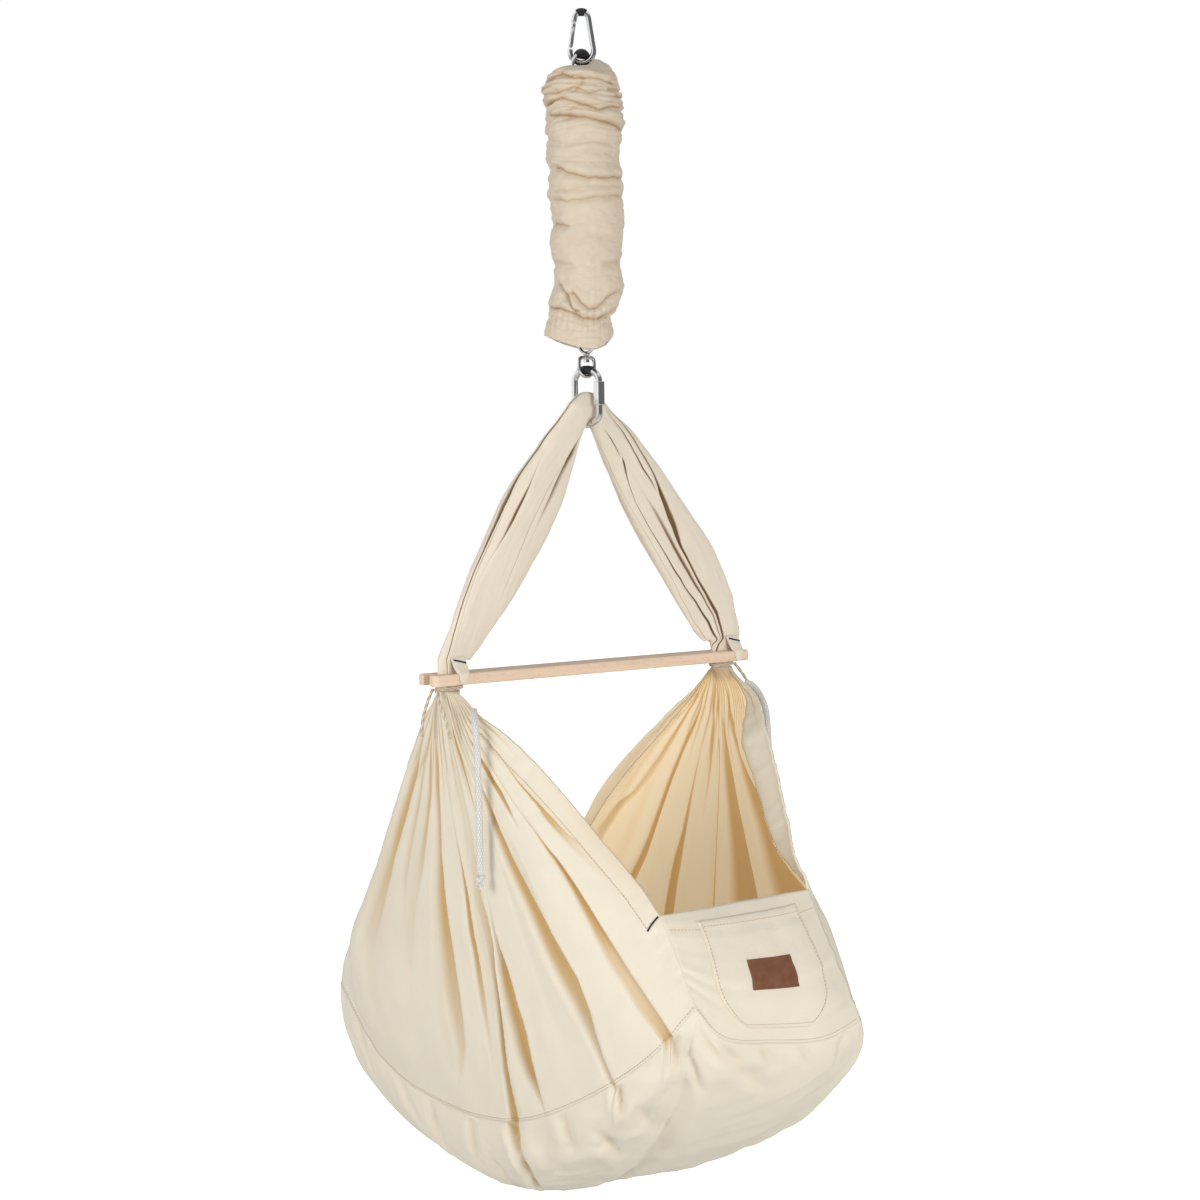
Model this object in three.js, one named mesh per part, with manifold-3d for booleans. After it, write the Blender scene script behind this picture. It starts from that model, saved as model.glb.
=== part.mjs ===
// A hanging baby cradle: a cloth bag on a forked wooden bar, hung by gathered straps, a quick
// link, a swivel, a covered extension spring and a snap hook. Millimetres, +Z up, +X along the bar,
// -Y the end with the pocket. The origin is where the ceiling hook bears in the snap hook.
import * as THREE from 'three';
import { mergeVertices } from 'three/addons/utils/BufferGeometryUtils.js';
import Module from 'manifold-3d';

const wasm = await Module();
wasm.setup();

// Clearances and cloth
const seatGap = 0.3; // between pieces that touch
const cutOver = 1; // how far a cutting tool runs past what it cuts
const clothThickness = 2.4; // two plies and their seam
const hemThickness = 4.4; // the folded front and back edges of the side walls

// Snap hook
const hookWire = 7.5;
const hookTopWidth = 26.5;
const hookBottomWidth = 39;
const hookLength = 75;
const hookSleeveWall = 1.2;
const hookTurn = -36; // degrees about the vertical
const gateDiameter = 6.4;
const gatePinDiameter = 2;
const tongueThickness = 2.2;
const tongueLength = 8;

// Spring and its eyes
const eyeWire = 5;
const upperEyeRadius = 18; // to the middle of the wire
const lowerEyeRadius = 12;
const upperEyeTurn = 9;
const lowerEyeTurn = 19;
const upperSleeveRadius = 8;
const lowerSleeveRadius = 5.5;
const sleeveSlip = 0.5; // between an eye's wire and its sleeve
const sleeveBore = eyeWire / 2 + sleeveSlip;
const stemRadius = 2.5;
const stemLength = 24; // from the eye's wire to the head
const headRadius = 7.5;
const headThickness = 4;
const coilWire = 5;
const coilRadius = 16.5;
const stemClear = 1.5; // between the stem and the coil's last turn
const coilEndRadius = stemRadius + coilWire / 2 + stemClear;
const springLength = 275; // between the faces of the two heads' outer ends

// Spring cover
const coverRadius = 47;
const coverMouthClear = 1.1; // beside the upper eye
const coverMouthRoom = 8.1; // in front of the upper eye's wire
const coverMouthLong = upperEyeRadius + eyeWire / 2 + coverMouthClear + clothThickness;
const coverMouthShort = eyeWire / 2 + coverMouthRoom + clothThickness;
const coverOverhang = 10.5; // below the lower eye
const coverSag = 4.8; // of the skirt's lower edge
const coverFold = 3.2;

// Swivel
const swivelWire = 4.5;
const swivelRingRadius = 11.9;
const swivelRingTurn = -71;
const bossRadius = 4.6;
const bossLength = 4.6;
const swivelPinRadius = 2.2;
const rivetHeadRadius = 4;
const rivetHeadThickness = 4;
const bowWire = 5;
const bowHalfWidth = 12.5;
const bowDrop = 25.5; // from the bow's top plate to the middle of its bottom wire
const bowPlateThickness = 4.4;

// Quick link
const linkWire = 9;
const linkHalfWidth = 20;
const linkRise = 15; // height of each rounded end
const linkStraight = 43.7;
const linkTurn = -71;
const linkSleeveWall = 1.2;
const nutAcrossFlats = 14.4;
const nutLength = 32;
const nutTravel = 11;
const threadCatch = 3; // how much of the upper thread the closed nut covers

// Spreader bar
const barDrop = 875; // hook to the middle of the bar
const barLength = 528;
const barWidth = 45;
const barThickness = 15;
const barCorner = 7;
const forkSlotWidth = 15;
const forkSlotDepth = 52;

// Straps
const strapTopHeight = 40; // bundle on the quick link
const strapTopHalf = 9;
const strapMidHeight = 71;
const leftStrapMidHalf = 20;
const rightStrapMidHalf = 14;
const strapNeckLength = 33; // along the bar, in the slot
const neckDrop = 8; // below the bar
const strapFold = 3;

// Tabs, ties and cords
const tabWidth = 22;
const leftTabShift = 9; // towards +X from the strap's middle
const rightTabShift = 13;
const tabThickness = 2;
const tabReach = 11; // down the bar's front face
const tackRadius = 2.4;
const tieCord = 3.4;
const drawcord = 9;
const knotRadius = 7.5;

// Cloth bag
const bagDepth = 719; // middle of the bar to the lowest cloth
const bagHalfWidth = 185;
const bagHalfLength = 400;
const gatherWidth = 34; // of each side wall's top, across the bar
const gatherThickness = 27;
const wallFoldCount = 7;
const foldDepth = 9;
const panelBelly = 26;
const pocketThickness = 1.4;
const patchThickness = 1.6;
const patchWidth = 66;
const patchHeight = 38;

// Mattress
const mattressThickness = 42;
const mattressClear = 1.3;

// Rounds and steps
const wireSideCount = 8;
const ringSideCount = 24;
const strapSideCount = 20;
const wallRowCount = 13;
const freeWallRowCount = 8; // of them, down to the end panels' upper corners
const panelColumnCount = 10;
const baseRingCount = 5;

const leftShare = -1; // of a distance along +X
const rightShare = 1;
const up = new THREE.Vector3(0, 0, 1);
const v3 = (x, y, z) => new THREE.Vector3(x, y, z);
const radians = THREE.MathUtils.degToRad;
const smooth = (low, high, x) => THREE.MathUtils.smoothstep(x, low, high);
const mix = (a, b, t) => a + (b - a) * t;
const range = (n) => Array.from({ length: n }, (_, i) => i);

const cradle = new THREE.Group();

const steel = { color: 0xb9bcc0, roughness: 0.28, metalness: 1 };
const rubber = { color: 0x1a1c22, roughness: 0.6, metalness: 0 };
const canvas = { color: 0xebe3d0, roughness: 0.95, metalness: 0 };
const strapCanvas = { color: 0xe3d3bc, roughness: 0.95, metalness: 0 };
const beech = { color: 0xd9b597, roughness: 0.6, metalness: 0 };
const leather = { color: 0x7b4a38, roughness: 0.7, metalness: 0 };
const cotton = { color: 0xe8e4de, roughness: 0.95, metalness: 0 };

function add(name, geometry, finish, parent = cradle) {
  const mesh = new THREE.Mesh(geometry, new THREE.MeshStandardMaterial(finish));
  mesh.name = name;
  parent.add(mesh);
  return mesh;
}

// A closed body from points and triangles, turned so that its faces point out
function body(points, faces) {
  let volume = 0;
  const cross = v3(0, 0, 0);
  for (let i = 0; i < faces.length; i += 3) {
    const [a, b, c] = [points[faces[i]], points[faces[i + 1]], points[faces[i + 2]]];
    volume += a.dot(cross.crossVectors(b, c));
  }
  const index = volume < 0 ? [...faces].reverse() : faces;
  const geometry = new THREE.BufferGeometry();
  geometry.setFromPoints(points);
  geometry.setIndex(index);
  return geometry;
}

// A closed skin between two grids of points; a loop joins the last column to the first
function skin(outer, inner, loop = false) {
  const rows = outer.length;
  const cols = outer[0].length;
  const at = (side, r, c) => (side * rows + r) * cols + (c % cols);
  const faces = [];
  const quad = (a, b, c, d) => faces.push(a, b, c, a, c, d);
  const steps = loop ? cols : cols - 1;
  for (let c = 0; c < steps; c++) {
    for (let r = 0; r < rows - 1; r++) {
      quad(at(0, r, c), at(0, r, c + 1), at(0, r + 1, c + 1), at(0, r + 1, c));
      quad(at(1, r + 1, c), at(1, r + 1, c + 1), at(1, r, c + 1), at(1, r, c));
    }
    quad(at(0, 0, c + 1), at(0, 0, c), at(1, 0, c), at(1, 0, c + 1));
    const end = rows - 1;
    quad(at(0, end, c), at(0, end, c + 1), at(1, end, c + 1), at(1, end, c));
  }
  for (let r = 0; r < rows - 1 && !loop; r++) {
    const end = cols - 1;
    quad(at(0, r, 0), at(0, r + 1, 0), at(1, r + 1, 0), at(1, r, 0));
    quad(at(0, r + 1, end), at(0, r, end), at(1, r, end), at(1, r + 1, end));
  }
  return body([...outer.flat(), ...inner.flat()], faces);
}

// A closed body through a row of rings, capped at its ends or joined into a ring
function loft(rings, closed = false) {
  const n = rings[0].length;
  const m = rings.length;
  const at = (i, j) => (i % m) * n + (j % n);
  const faces = [];
  for (let i = 0; i < (closed ? m : m - 1); i++) {
    for (let j = 0; j < n; j++) {
      faces.push(at(i, j), at(i, j + 1), at(i + 1, j + 1));
      faces.push(at(i, j), at(i + 1, j + 1), at(i + 1, j));
    }
  }
  const points = rings.flat();
  if (!closed) {
    const middle = (ring) => ring.reduce((s, p) => s.add(p), v3(0, 0, 0)).divideScalar(n);
    points.push(middle(rings[0]), middle(rings[m - 1]));
    for (let j = 0; j < n; j++) {
      faces.push(n * m, at(0, j + 1), at(0, j));
      faces.push(n * m + 1, at(m - 1, j), at(m - 1, j + 1));
    }
  }
  return body(points, faces);
}

// Rings round a flat path; across is the plane's normal, size a radius or a function of the step
function pathRings(path, size, across, sides, closed = false) {
  const m = path.length;
  return path.map((p, i) => {
    const before = closed ? path[(i + m - 1) % m] : path[Math.max(i - 1, 0)];
    const after = closed ? path[(i + 1) % m] : path[Math.min(i + 1, m - 1)];
    const along = after.clone().sub(before).normalize();
    const side = along.cross(across);
    const radius = typeof size === 'function' ? size(i / (m - 1)) : size;
    return range(sides).map((j) => {
      const turn = (2 * Math.PI * j) / sides;
      return p.clone()
        .addScaledVector(side, radius * Math.cos(turn))
        .addScaledVector(across, radius * Math.sin(turn));
    });
  });
}

const wire = (path, radius, across, closed = false) =>
  loft(pathRings(path, radius, across, wireSideCount, closed), closed);

function tubeWith(path, outerSize, innerSize, across) {
  const rings = (size) => pathRings(path, size, across, wireSideCount);
  return skin(rings(outerSize), rings(innerSize), true);
}

// Points of an arc in the XZ plane, angles in degrees from +X
const arc = (x, z, radius, from, to, steps, rise = radius) =>
  range(steps + 1).map((i) => {
    const a = radians(mix(from, to, i / steps));
    return v3(x + radius * Math.cos(a), 0, z + rise * Math.sin(a));
  });

function solid(geometry) {
  const bare = geometry.clone();
  bare.deleteAttribute('normal');
  bare.deleteAttribute('uv');
  const merged = mergeVertices(bare, 1e-4);
  return new wasm.Manifold(new wasm.Mesh({
    numProp: 3,
    vertProperties: merged.attributes.position.array,
    triVerts: new Uint32Array(merged.index.array),
  }));
}

function geometryOf(manifold) {
  const mesh = manifold.getMesh();
  const geometry = new THREE.BufferGeometry();
  geometry.setAttribute('position', new THREE.BufferAttribute(mesh.vertProperties, 3));
  geometry.setIndex(new THREE.BufferAttribute(mesh.triVerts, 1));
  return geometry;
}

const join = (...parts) => geometryOf(parts.map(solid).reduce((a, b) => a.add(b)));
const cut = (part, ...tools) =>
  geometryOf(tools.map(solid).reduce((a, b) => a.subtract(b), solid(part)));

// An upright round bar between two heights, and one that lies along Y
const post = (radius, low, high, sides = ringSideCount) =>
  new THREE.CylinderGeometry(radius, radius, high - low, sides)
    .rotateX(Math.PI / 2).translate(0, 0, (low + high) / 2);
const crossPin = (radius, length, sides = 12) =>
  new THREE.CylinderGeometry(radius, radius, length, sides);

const across = v3(0, 1, 0);

// Snap hook: pear-shaped wire body with a sprung gate on its left leg
const hook = new THREE.Group();
hook.rotation.z = radians(hookTurn);
cradle.add(hook);
const hookTopRadius = (hookTopWidth - hookWire) / 2;
const hookBottomRadius = (hookBottomWidth - hookWire) / 2;
const hookTopZ = hookWire / 2 + seatGap + hookSleeveWall;
const hookBottomZ = hookTopZ - (hookLength - hookWire);
const topCentre = hookTopZ - hookTopRadius;
const bottomCentre = hookBottomZ + hookBottomRadius;
const lean = Math.asin((hookBottomRadius - hookTopRadius) / (topCentre - bottomCentre));
const leanDegrees = THREE.MathUtils.radToDeg(lean);
const legFoot = v3(-hookBottomRadius * Math.cos(lean), 0, bottomCentre + hookBottomRadius * Math.sin(lean));
const legHead = v3(-hookTopRadius * Math.cos(lean), 0, topCentre + hookTopRadius * Math.sin(lean));
const hingeShare = 0.17;
const stubShare = 0.03;
const noseShare = 0.86;
const onLeg = (share) => legFoot.clone().lerp(legHead, share);
const hookPath = [
  onLeg(stubShare),
  ...arc(0, bottomCentre, hookBottomRadius, 180 - leanDegrees, 360 + leanDegrees, 14),
  ...arc(0, topCentre, hookTopRadius, leanDegrees, 180 - leanDegrees, 12),
  onLeg(noseShare),
];
const hinge = onLeg(hingeShare);
const legLength = legFoot.distanceTo(legHead);
const tongueFoot = -(hingeShare - stubShare) * legLength - tongueThickness;
const tongueTop = gatePinDiameter * 1.2;
const tongue = new THREE.BoxGeometry(hookWire * 0.7, tongueThickness, tongueTop - tongueFoot);
tongue.translate(0, 0, (tongueTop + tongueFoot) / 2).rotateY(lean).translate(hinge.x, 0, hinge.z);
const pinHole = crossPin(gatePinDiameter / 2 + seatGap, hookWire + 2 * cutOver)
  .translate(hinge.x, 0, hinge.z);
add('snap_hook_body', cut(join(wire(hookPath, hookWire / 2, across), tongue), pinHole), steel, hook);

const gate = new THREE.Group();
gate.position.copy(hinge);
gate.rotation.y = lean;
hook.add(gate);
const gateFoot = -gatePinDiameter * 1.4;
const gateHead = legLength * (noseShare - hingeShare) - 2 * seatGap;
const fork = new THREE.BoxGeometry(hookWire + 2 * cutOver, tongueThickness + 2 * seatGap, tongueLength);
fork.translate(0, 0, gateFoot - cutOver + tongueLength / 2);
add('snap_hook_gate', cut(
  post(gateDiameter / 2, gateFoot, gateHead, 14),
  fork,
  crossPin(gatePinDiameter / 2 + seatGap, hookWire + 2 * cutOver),
), steel, gate);
add('gate_pin', crossPin(gatePinDiameter / 2, gateDiameter * 0.92), steel, gate);
const hookSleeveTurn = 40; // degrees each way
add('snap_hook_sleeve', tubeWith(
  arc(0, topCentre, hookTopRadius, 90 - hookSleeveTurn, 90 + hookSleeveTurn, 6),
  hookWire / 2 + seatGap + hookSleeveWall,
  hookWire / 2 + seatGap,
  across,
), rubber, hook);

// Spring eyes: a wire ring with a stem, whose head the coil's last turn closes over
const upperEyeZ = hookBottomZ + hookWire / 2 + seatGap + upperSleeveRadius - upperEyeRadius;
function springEye(radius, direction) {
  const ring = new THREE.TorusGeometry(radius, eyeWire / 2, wireSideCount, ringSideCount);
  ring.rotateX(Math.PI / 2);
  const start = direction * radius;
  const end = direction * (radius + stemLength);
  const stem = post(stemRadius, Math.min(start, end), Math.max(start, end), wireSideCount);
  const headEnd = end + direction * headThickness;
  const head = post(headRadius, Math.min(end, headEnd), Math.max(end, headEnd), 16);
  return join(ring, stem, head);
}
function placed(turn, height) {
  const group = new THREE.Group();
  group.rotation.z = radians(turn);
  group.position.z = height;
  cradle.add(group);
  return group;
}
const bulged = (low, high) => (t) => low + (high - low) * Math.sin(Math.PI * t) ** 0.8;
const upperEye = placed(upperEyeTurn, upperEyeZ);
add('upper_spring_eye', springEye(upperEyeRadius, -1), steel, upperEye);
const upperSleeveTurn = 36;
add('upper_eye_sleeve', tubeWith(
  arc(0, 0, upperEyeRadius, 90 - upperSleeveTurn, 90 + upperSleeveTurn, 8),
  bulged(sleeveBore + hookSleeveWall, upperSleeveRadius),
  sleeveBore,
  across,
), rubber, upperEye);

const springTop = upperEyeZ - upperEyeRadius - stemLength - headThickness;
const springFoot = springTop - springLength + 2 * headThickness;
const lowerEyeZ = springFoot - headThickness - stemLength - lowerEyeRadius;
const lowerEye = placed(lowerEyeTurn, lowerEyeZ);
add('lower_spring_eye', springEye(lowerEyeRadius, 1), steel, lowerEye);
const lowerSleeveTurn = 100;
add('lower_eye_sleeve', tubeWith(
  arc(0, 0, lowerEyeRadius, 270 - lowerSleeveTurn, 270 + lowerSleeveTurn, 8),
  bulged(sleeveBore + hookSleeveWall, lowerSleeveRadius),
  sleeveBore,
  across,
), rubber, lowerEye);

// Coil: one wire, its first and last turns drawn in over the heads
const coilTurnCount = 20;
const coilSteps = coilTurnCount * 8;
const coilTop = springTop + headThickness + seatGap + coilWire / 2;
const coilFoot = springFoot - headThickness - seatGap - coilWire / 2;
const coilFlat = 0.9; // turns that lie flat over each head
const coilPath = range(coilSteps + 1).map((i) => {
  const turns = (coilTurnCount * i) / coilSteps;
  const fromEnd = Math.min(turns, coilTurnCount - turns);
  const radius = mix(coilEndRadius, coilRadius, smooth(0.45, 1.3, fromEnd));
  const turn = 2 * Math.PI * turns;
  const fall = THREE.MathUtils.clamp((turns - coilFlat) / (coilTurnCount - 2 * coilFlat), 0, 1);
  return v3(radius * Math.cos(turn), radius * Math.sin(turn), mix(coilTop, coilFoot, fall));
});
const coilRings = coilPath.map((p) => {
  const out = v3(p.x, p.y, 0).normalize();
  return range(5).map((j) => {
    const turn = (2 * Math.PI * j) / 5;
    return p.clone()
      .addScaledVector(out, (coilWire / 2) * Math.cos(turn))
      .addScaledVector(up, (coilWire / 2) * Math.sin(turn));
  });
});
let coilGap = Infinity;
for (let i = 0; i < coilPath.length; i++) {
  for (let j = i + 5; j < coilPath.length; j++) {
    coilGap = Math.min(coilGap, coilPath[i].distanceTo(coilPath[j]) - coilWire);
  }
}
console.log('least gap of the spring to itself, mm:', coilGap.toFixed(2));
add('spring_coil', loft(coilRings), steel);

// Spring cover: a gathered cloth tube, open over the upper eye, with a skirt below
const coverTop = upperEyeZ - seatGap;
const coverFoot = lowerEyeZ - lowerEyeRadius - coverOverhang;
const coverRowCount = 24;
const coverSideCount = 16;
const coverProfileShares = [[0, 0.47], [0.015, 0.8], [0.04, 1.02], [0.12, 1.05], [0.3, 1.01],
  [0.6, 1.02], [0.8, 1], [0.87, 0.92], [0.9, 0.84], [0.93, 0.94], [1, 1]];
function coverRadiusAt(share) {
  const next = coverProfileShares.findIndex(([s]) => s >= share);
  if (next <= 0) return coverProfileShares[0][1] * coverRadius;
  const [s0, r0] = coverProfileShares[next - 1];
  const [s1, r1] = coverProfileShares[next];
  return mix(r0, r1, (share - s0) / (s1 - s0)) * coverRadius;
}
function coverGrid(inset) {
  return range(coverRowCount + 1).map((row) => {
    const t = row / coverRowCount;
    const share = t < 0.12 ? t * 0.35 : mix(0.042, 1, (t - 0.12) / 0.88);
    const gathers = smooth(0.02, 0.06, share) * (1 - smooth(0.82, 0.9, share));
    return range(coverSideCount).map((side) => {
      const turn = (2 * Math.PI * side) / coverSideCount;
      const sway = 0.6 * Math.sin(turn) + 0.35 * Math.sin(2 * turn + 1);
      const fold = coverFold * gathers * (row % 2 ? 1 : -1) * Math.cos(sway + row * 0.4);
      const radius = coverRadiusAt(share) + fold - inset;
      const mouth = 1 - smooth(0, 0.03, share);
      const alongEye = mix(radius, coverMouthLong - inset, mouth);
      const acrossEye = mix(radius, coverMouthShort - inset, mouth);
      const eyeTurn = turn - radians(upperEyeTurn);
      const x = alongEye * Math.cos(eyeTurn);
      const y = acrossEye * Math.sin(eyeTurn);
      const sag = coverSag * Math.sin(turn + 2.4) * smooth(0.9, 1, share);
      return v3(x, y, mix(coverTop, coverFoot, share) + sag)
        .applyAxisAngle(up, radians(upperEyeTurn));
    });
  });
}
add('spring_cover', skin(coverGrid(0), coverGrid(clothThickness), true), strapCanvas);

// Swivel: a ring with a boss, a rivet, and a bow that turns on the rivet
const ringTopZ = lowerEyeZ - lowerEyeRadius + lowerSleeveRadius + seatGap + swivelWire / 2;
const swivelRingZ = ringTopZ - swivelRingRadius;
const bossTop = swivelRingZ - swivelRingRadius + swivelWire * 0.2;
const bossFoot = bossTop - bossLength;
const swivelRing = placed(swivelRingTurn, 0);
const ring = new THREE.TorusGeometry(swivelRingRadius, swivelWire / 2, wireSideCount, ringSideCount)
  .rotateX(Math.PI / 2).translate(0, 0, swivelRingZ);
const pinSocket = bossLength * 0.6;
add('swivel_ring', cut(
  join(ring, post(bossRadius, bossFoot, bossTop, 16)),
  post(swivelPinRadius + seatGap, bossFoot - cutOver, bossFoot + pinSocket, 12),
), steel, swivelRing);
const bowTop = bossFoot - seatGap;
const bowPlateFoot = bowTop - bowPlateThickness;
const rivetTop = bowPlateFoot - seatGap;
add('swivel_rivet', join(
  post(swivelPinRadius, rivetTop - cutOver, bossFoot + pinSocket - seatGap, 12),
  post(rivetHeadRadius, rivetTop - rivetHeadThickness, rivetTop, 12),
), steel, swivelRing);
const bowTopZ = bowTop - bowPlateThickness / 2;
const bowFootZ = bowTopZ - bowDrop;
const bowCorner = bowHalfWidth * 0.5;
const bowPath = [
  ...arc(bowHalfWidth - bowCorner, bowTopZ - bowCorner, bowCorner, 90, 0, 4),
  ...arc(0, bowFootZ + bowHalfWidth, bowHalfWidth, 0, -180, 12),
  ...arc(-bowHalfWidth + bowCorner, bowTopZ - bowCorner, bowCorner, 180, 90, 4),
];
add('swivel_bow', cut(
  join(wire(bowPath, bowWire / 2, across, true), post(bossRadius, bowPlateFoot, bowTop, 16)),
  post(swivelPinRadius + seatGap, bowPlateFoot - bowWire, bowTop + cutOver, 12),
), steel);

// Quick link: an open wire oval, closed by a threaded sleeve nut on its front leg
const linkSleeveRadius = linkWire / 2 + seatGap + linkSleeveWall;
const linkTopZ = bowFootZ + bowWire / 2 + seatGap + linkSleeveRadius;
const upperBend = linkTopZ - linkRise;
const lowerBend = upperBend - linkStraight;
const linkFootZ = lowerBend - linkRise;
const link = placed(linkTurn, 0);
const nutTop = upperBend - linkStraight * 0.02;
const mouthTop = nutTop - threadCatch;
const mouthFoot = nutTop - nutTravel;
const linkPath = [
  v3(linkHalfWidth, 0, mouthFoot),
  ...arc(0, lowerBend, linkHalfWidth, 0, -180, 16, linkRise),
  ...arc(0, upperBend, linkHalfWidth, 180, 0, 16, linkRise),
  v3(linkHalfWidth, 0, mouthTop),
];
add('quick_link_body', wire(linkPath, linkWire / 2, across), steel, link);
const linkSleeveTurn = 34;
add('quick_link_sleeve', tubeWith(
  arc(0, upperBend, linkHalfWidth, 90 - linkSleeveTurn, 90 + linkSleeveTurn, 6, linkRise),
  linkSleeveRadius,
  linkWire / 2 + seatGap,
  across,
), rubber, link);
const nutCorner = nutAcrossFlats / 2 / Math.cos(Math.PI / 6);
const nutShoulder = linkWire * 0.16;
const nutProfile = [
  [nutCorner - nutShoulder, nutTop - nutLength],
  [nutCorner, nutTop - nutLength + nutShoulder],
  [nutCorner, nutTop - nutShoulder],
  [nutCorner - nutShoulder, nutTop],
];
const nutRings = nutProfile.map(([radius, z]) => range(6).map((i) => {
  const turn = (Math.PI * i) / 3;
  return v3(linkHalfWidth + radius * Math.cos(turn), radius * Math.sin(turn), z);
}));
const nutBore = post(linkWire / 2 + seatGap, nutTop - nutLength - cutOver, nutTop + cutOver, 20)
  .translate(linkHalfWidth, 0, 0);
add('quick_link_nut', cut(loft(nutRings), nutBore), steel, link);

// Spreader bar: a flat beech board with a fork slot in each end
const barHalf = barLength / 2;
const barTop = -barDrop + barThickness / 2;
const barFoot = -barDrop - barThickness / 2;
const slotHalf = forkSlotWidth / 2;
const prong = (barWidth - forkSlotWidth) / 2;
const barShape = new THREE.Shape();
function forkEnd(side) {
  const end = side * barHalf;
  const root = side * (barHalf - forkSlotDepth);
  const half = barWidth / 2;
  const y = side * half;
  const inner = side * slotHalf;
  const corner = side * barCorner;
  barShape.lineTo(end - corner, -y);
  barShape.quadraticCurveTo(end, -y, end, -y + corner);
  barShape.lineTo(end, -inner - corner * 0.3);
  barShape.quadraticCurveTo(end, -inner, end - corner * 0.3, -inner);
  barShape.lineTo(root + inner, -inner);
  const quarter = (side * Math.PI) / 2;
  barShape.absarc(root + inner, 0, slotHalf, -quarter, quarter - 4 * quarter, true);
  barShape.lineTo(end - corner * 0.3, inner);
  barShape.quadraticCurveTo(end, inner, end, inner + corner * 0.3);
  barShape.lineTo(end, y - corner);
  barShape.quadraticCurveTo(end, y, end - corner, y);
}
barShape.moveTo(0, -barWidth / 2);
forkEnd(rightShare);
forkEnd(leftShare);
barShape.lineTo(0, -barWidth / 2);
const barBevel = barThickness * 0.1;
const bar = new THREE.ExtrudeGeometry(barShape, {
  depth: barThickness - 2 * barBevel,
  bevelEnabled: true,
  bevelThickness: barBevel,
  bevelSize: barBevel,
  bevelOffset: -barBevel,
  bevelSegments: 1,
  curveSegments: 6,
});
bar.translate(0, 0, barFoot + barBevel);
add('spreader_bar', bar, beech);

// Straps: folded cloth from the quick link down through the fork slots
const neckX = barHalf - forkSlotDepth + seatGap * 2 + strapNeckLength / 2;
const neckHalf = slotHalf - seatGap * 2;
const neckFoot = barFoot - neckDrop;
const saddleRadius = linkWire / 2 + seatGap + strapTopHeight / 2;
const linkAcross = v3(Math.cos(radians(linkTurn)), Math.sin(radians(linkTurn)), 0);
const linkNormal = v3(-linkAcross.y, linkAcross.x, 0);
const slotTop = v3(neckX, 0, barTop + barThickness * 1.2);
const strapSlope = Math.atan2(-linkFootZ + slotTop.z, neckX);
function strapCentre(side, t) {
  const bendShare = 0.16;
  const neckShare = 0.88;
  if (t < bendShare) {
    const angle = (t / bendShare) * Math.abs(strapSlope);
    return linkNormal.clone().multiplyScalar(side * saddleRadius * Math.sin(angle))
      .setZ(linkFootZ + saddleRadius * Math.cos(angle));
  }
  const from = strapCentre(side, bendShare * 0.999);
  const to = v3(side * slotTop.x, 0, slotTop.z);
  if (t < neckShare) return from.lerp(to, (t - bendShare) / (neckShare - bendShare));
  return to.clone().setZ(mix(to.z, neckFoot, (t - neckShare) / (1 - neckShare)));
}
// How far the cloth reaches from the middle line at each step, as shares of half the strap's height
const strapStepShares = [0, 0.055, 0.11, 0.16, 0.22, 0.3, 0.39, 0.48, 0.57, 0.66, 0.74, 0.81, 0.87, 0.905];
const innerReachShares = [0.95, 0.95, 0.96, 0.99, 0.84, 0.76, 0.93, 1, 1, 1, 1, 0.94, 0.76, 0.52];
const outerReachShares = {
  left: [0.97, 0.97, 0.98, 1.01, 0.84, 0.76, 0.93, 1, 1, 0.95, 0.77, 0.55, 0.46, 0.46],
  right: [0.97, 0.98, 1.03, 1.14, 1.09, 1.03, 1.2, 1.3, 1.45, 1.6, 1.6, 1.45, 1.05, 0.75],
};
const neckStepShares = [0.935, 1];
function strapRings(side) {
  const outerShares = side < 0 ? outerReachShares.left : outerReachShares.right;
  const strapMidHalf = side < 0 ? leftStrapMidHalf : rightStrapMidHalf;
  return [...strapStepShares, ...neckStepShares].map((t, i) => {
    const centre = strapCentre(side, t);
    const along = strapCentre(side, Math.min(t + 0.02, 1)).sub(strapCentre(side, Math.max(t - 0.02, 0)));
    if (t > 0.86) along.set(0, 0, -1);
    if (t === 0) along.copy(linkNormal).multiplyScalar(side);
    const turnToBar = smooth(0.1, 0.4, t);
    const width = linkAcross.clone().lerp(v3(0, -1, 0), turnToBar).normalize();
    const high = width.clone().cross(along).normalize().multiplyScalar(side);
    const belly = smooth(0.16, 0.45, t) * (1 - smooth(0.5, 0.9, t));
    const narrow = smooth(0.55, 0.9, t);
    const inNeck = i >= strapStepShares.length;
    const height = mix(strapTopHeight, strapMidHeight, smooth(0.16, 0.3, t));
    const outerHalf = inNeck ? strapNeckLength / 2 : (outerShares[i] * height) / 2;
    const innerHalf = inNeck ? strapNeckLength / 2 : (innerReachShares[i] * height) / 2;
    const halfWide = mix(mix(strapTopHalf, strapMidHalf, belly), neckHalf, narrow);
    const folds = strapFold * belly;
    const offset = linkNormal.clone().multiplyScalar(side * (t === 0 ? seatGap / 2 : 0));
    return range(strapSideCount).map((j) => {
      const turn = (2 * Math.PI * j) / strapSideCount;
      const fold = j % 2 ? -folds : 0;
      const roundShare = 0.75;
      const c = Math.sign(Math.cos(turn)) * Math.abs(Math.cos(turn)) ** roundShare;
      const s = Math.sign(Math.sin(turn)) * Math.abs(Math.sin(turn)) ** roundShare;
      const halfHigh = c > 0 ? outerHalf : innerHalf;
      return centre.clone()
        .addScaledVector(high, (halfHigh + fold * Math.abs(c)) * c)
        .addScaledVector(width, (halfWide + fold * Math.abs(s)) * s)
        .add(offset);
    });
  });
}
add('left_strap', loft(strapRings(leftShare)), strapCanvas);
add('right_strap', loft(strapRings(rightShare)), strapCanvas);

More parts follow.
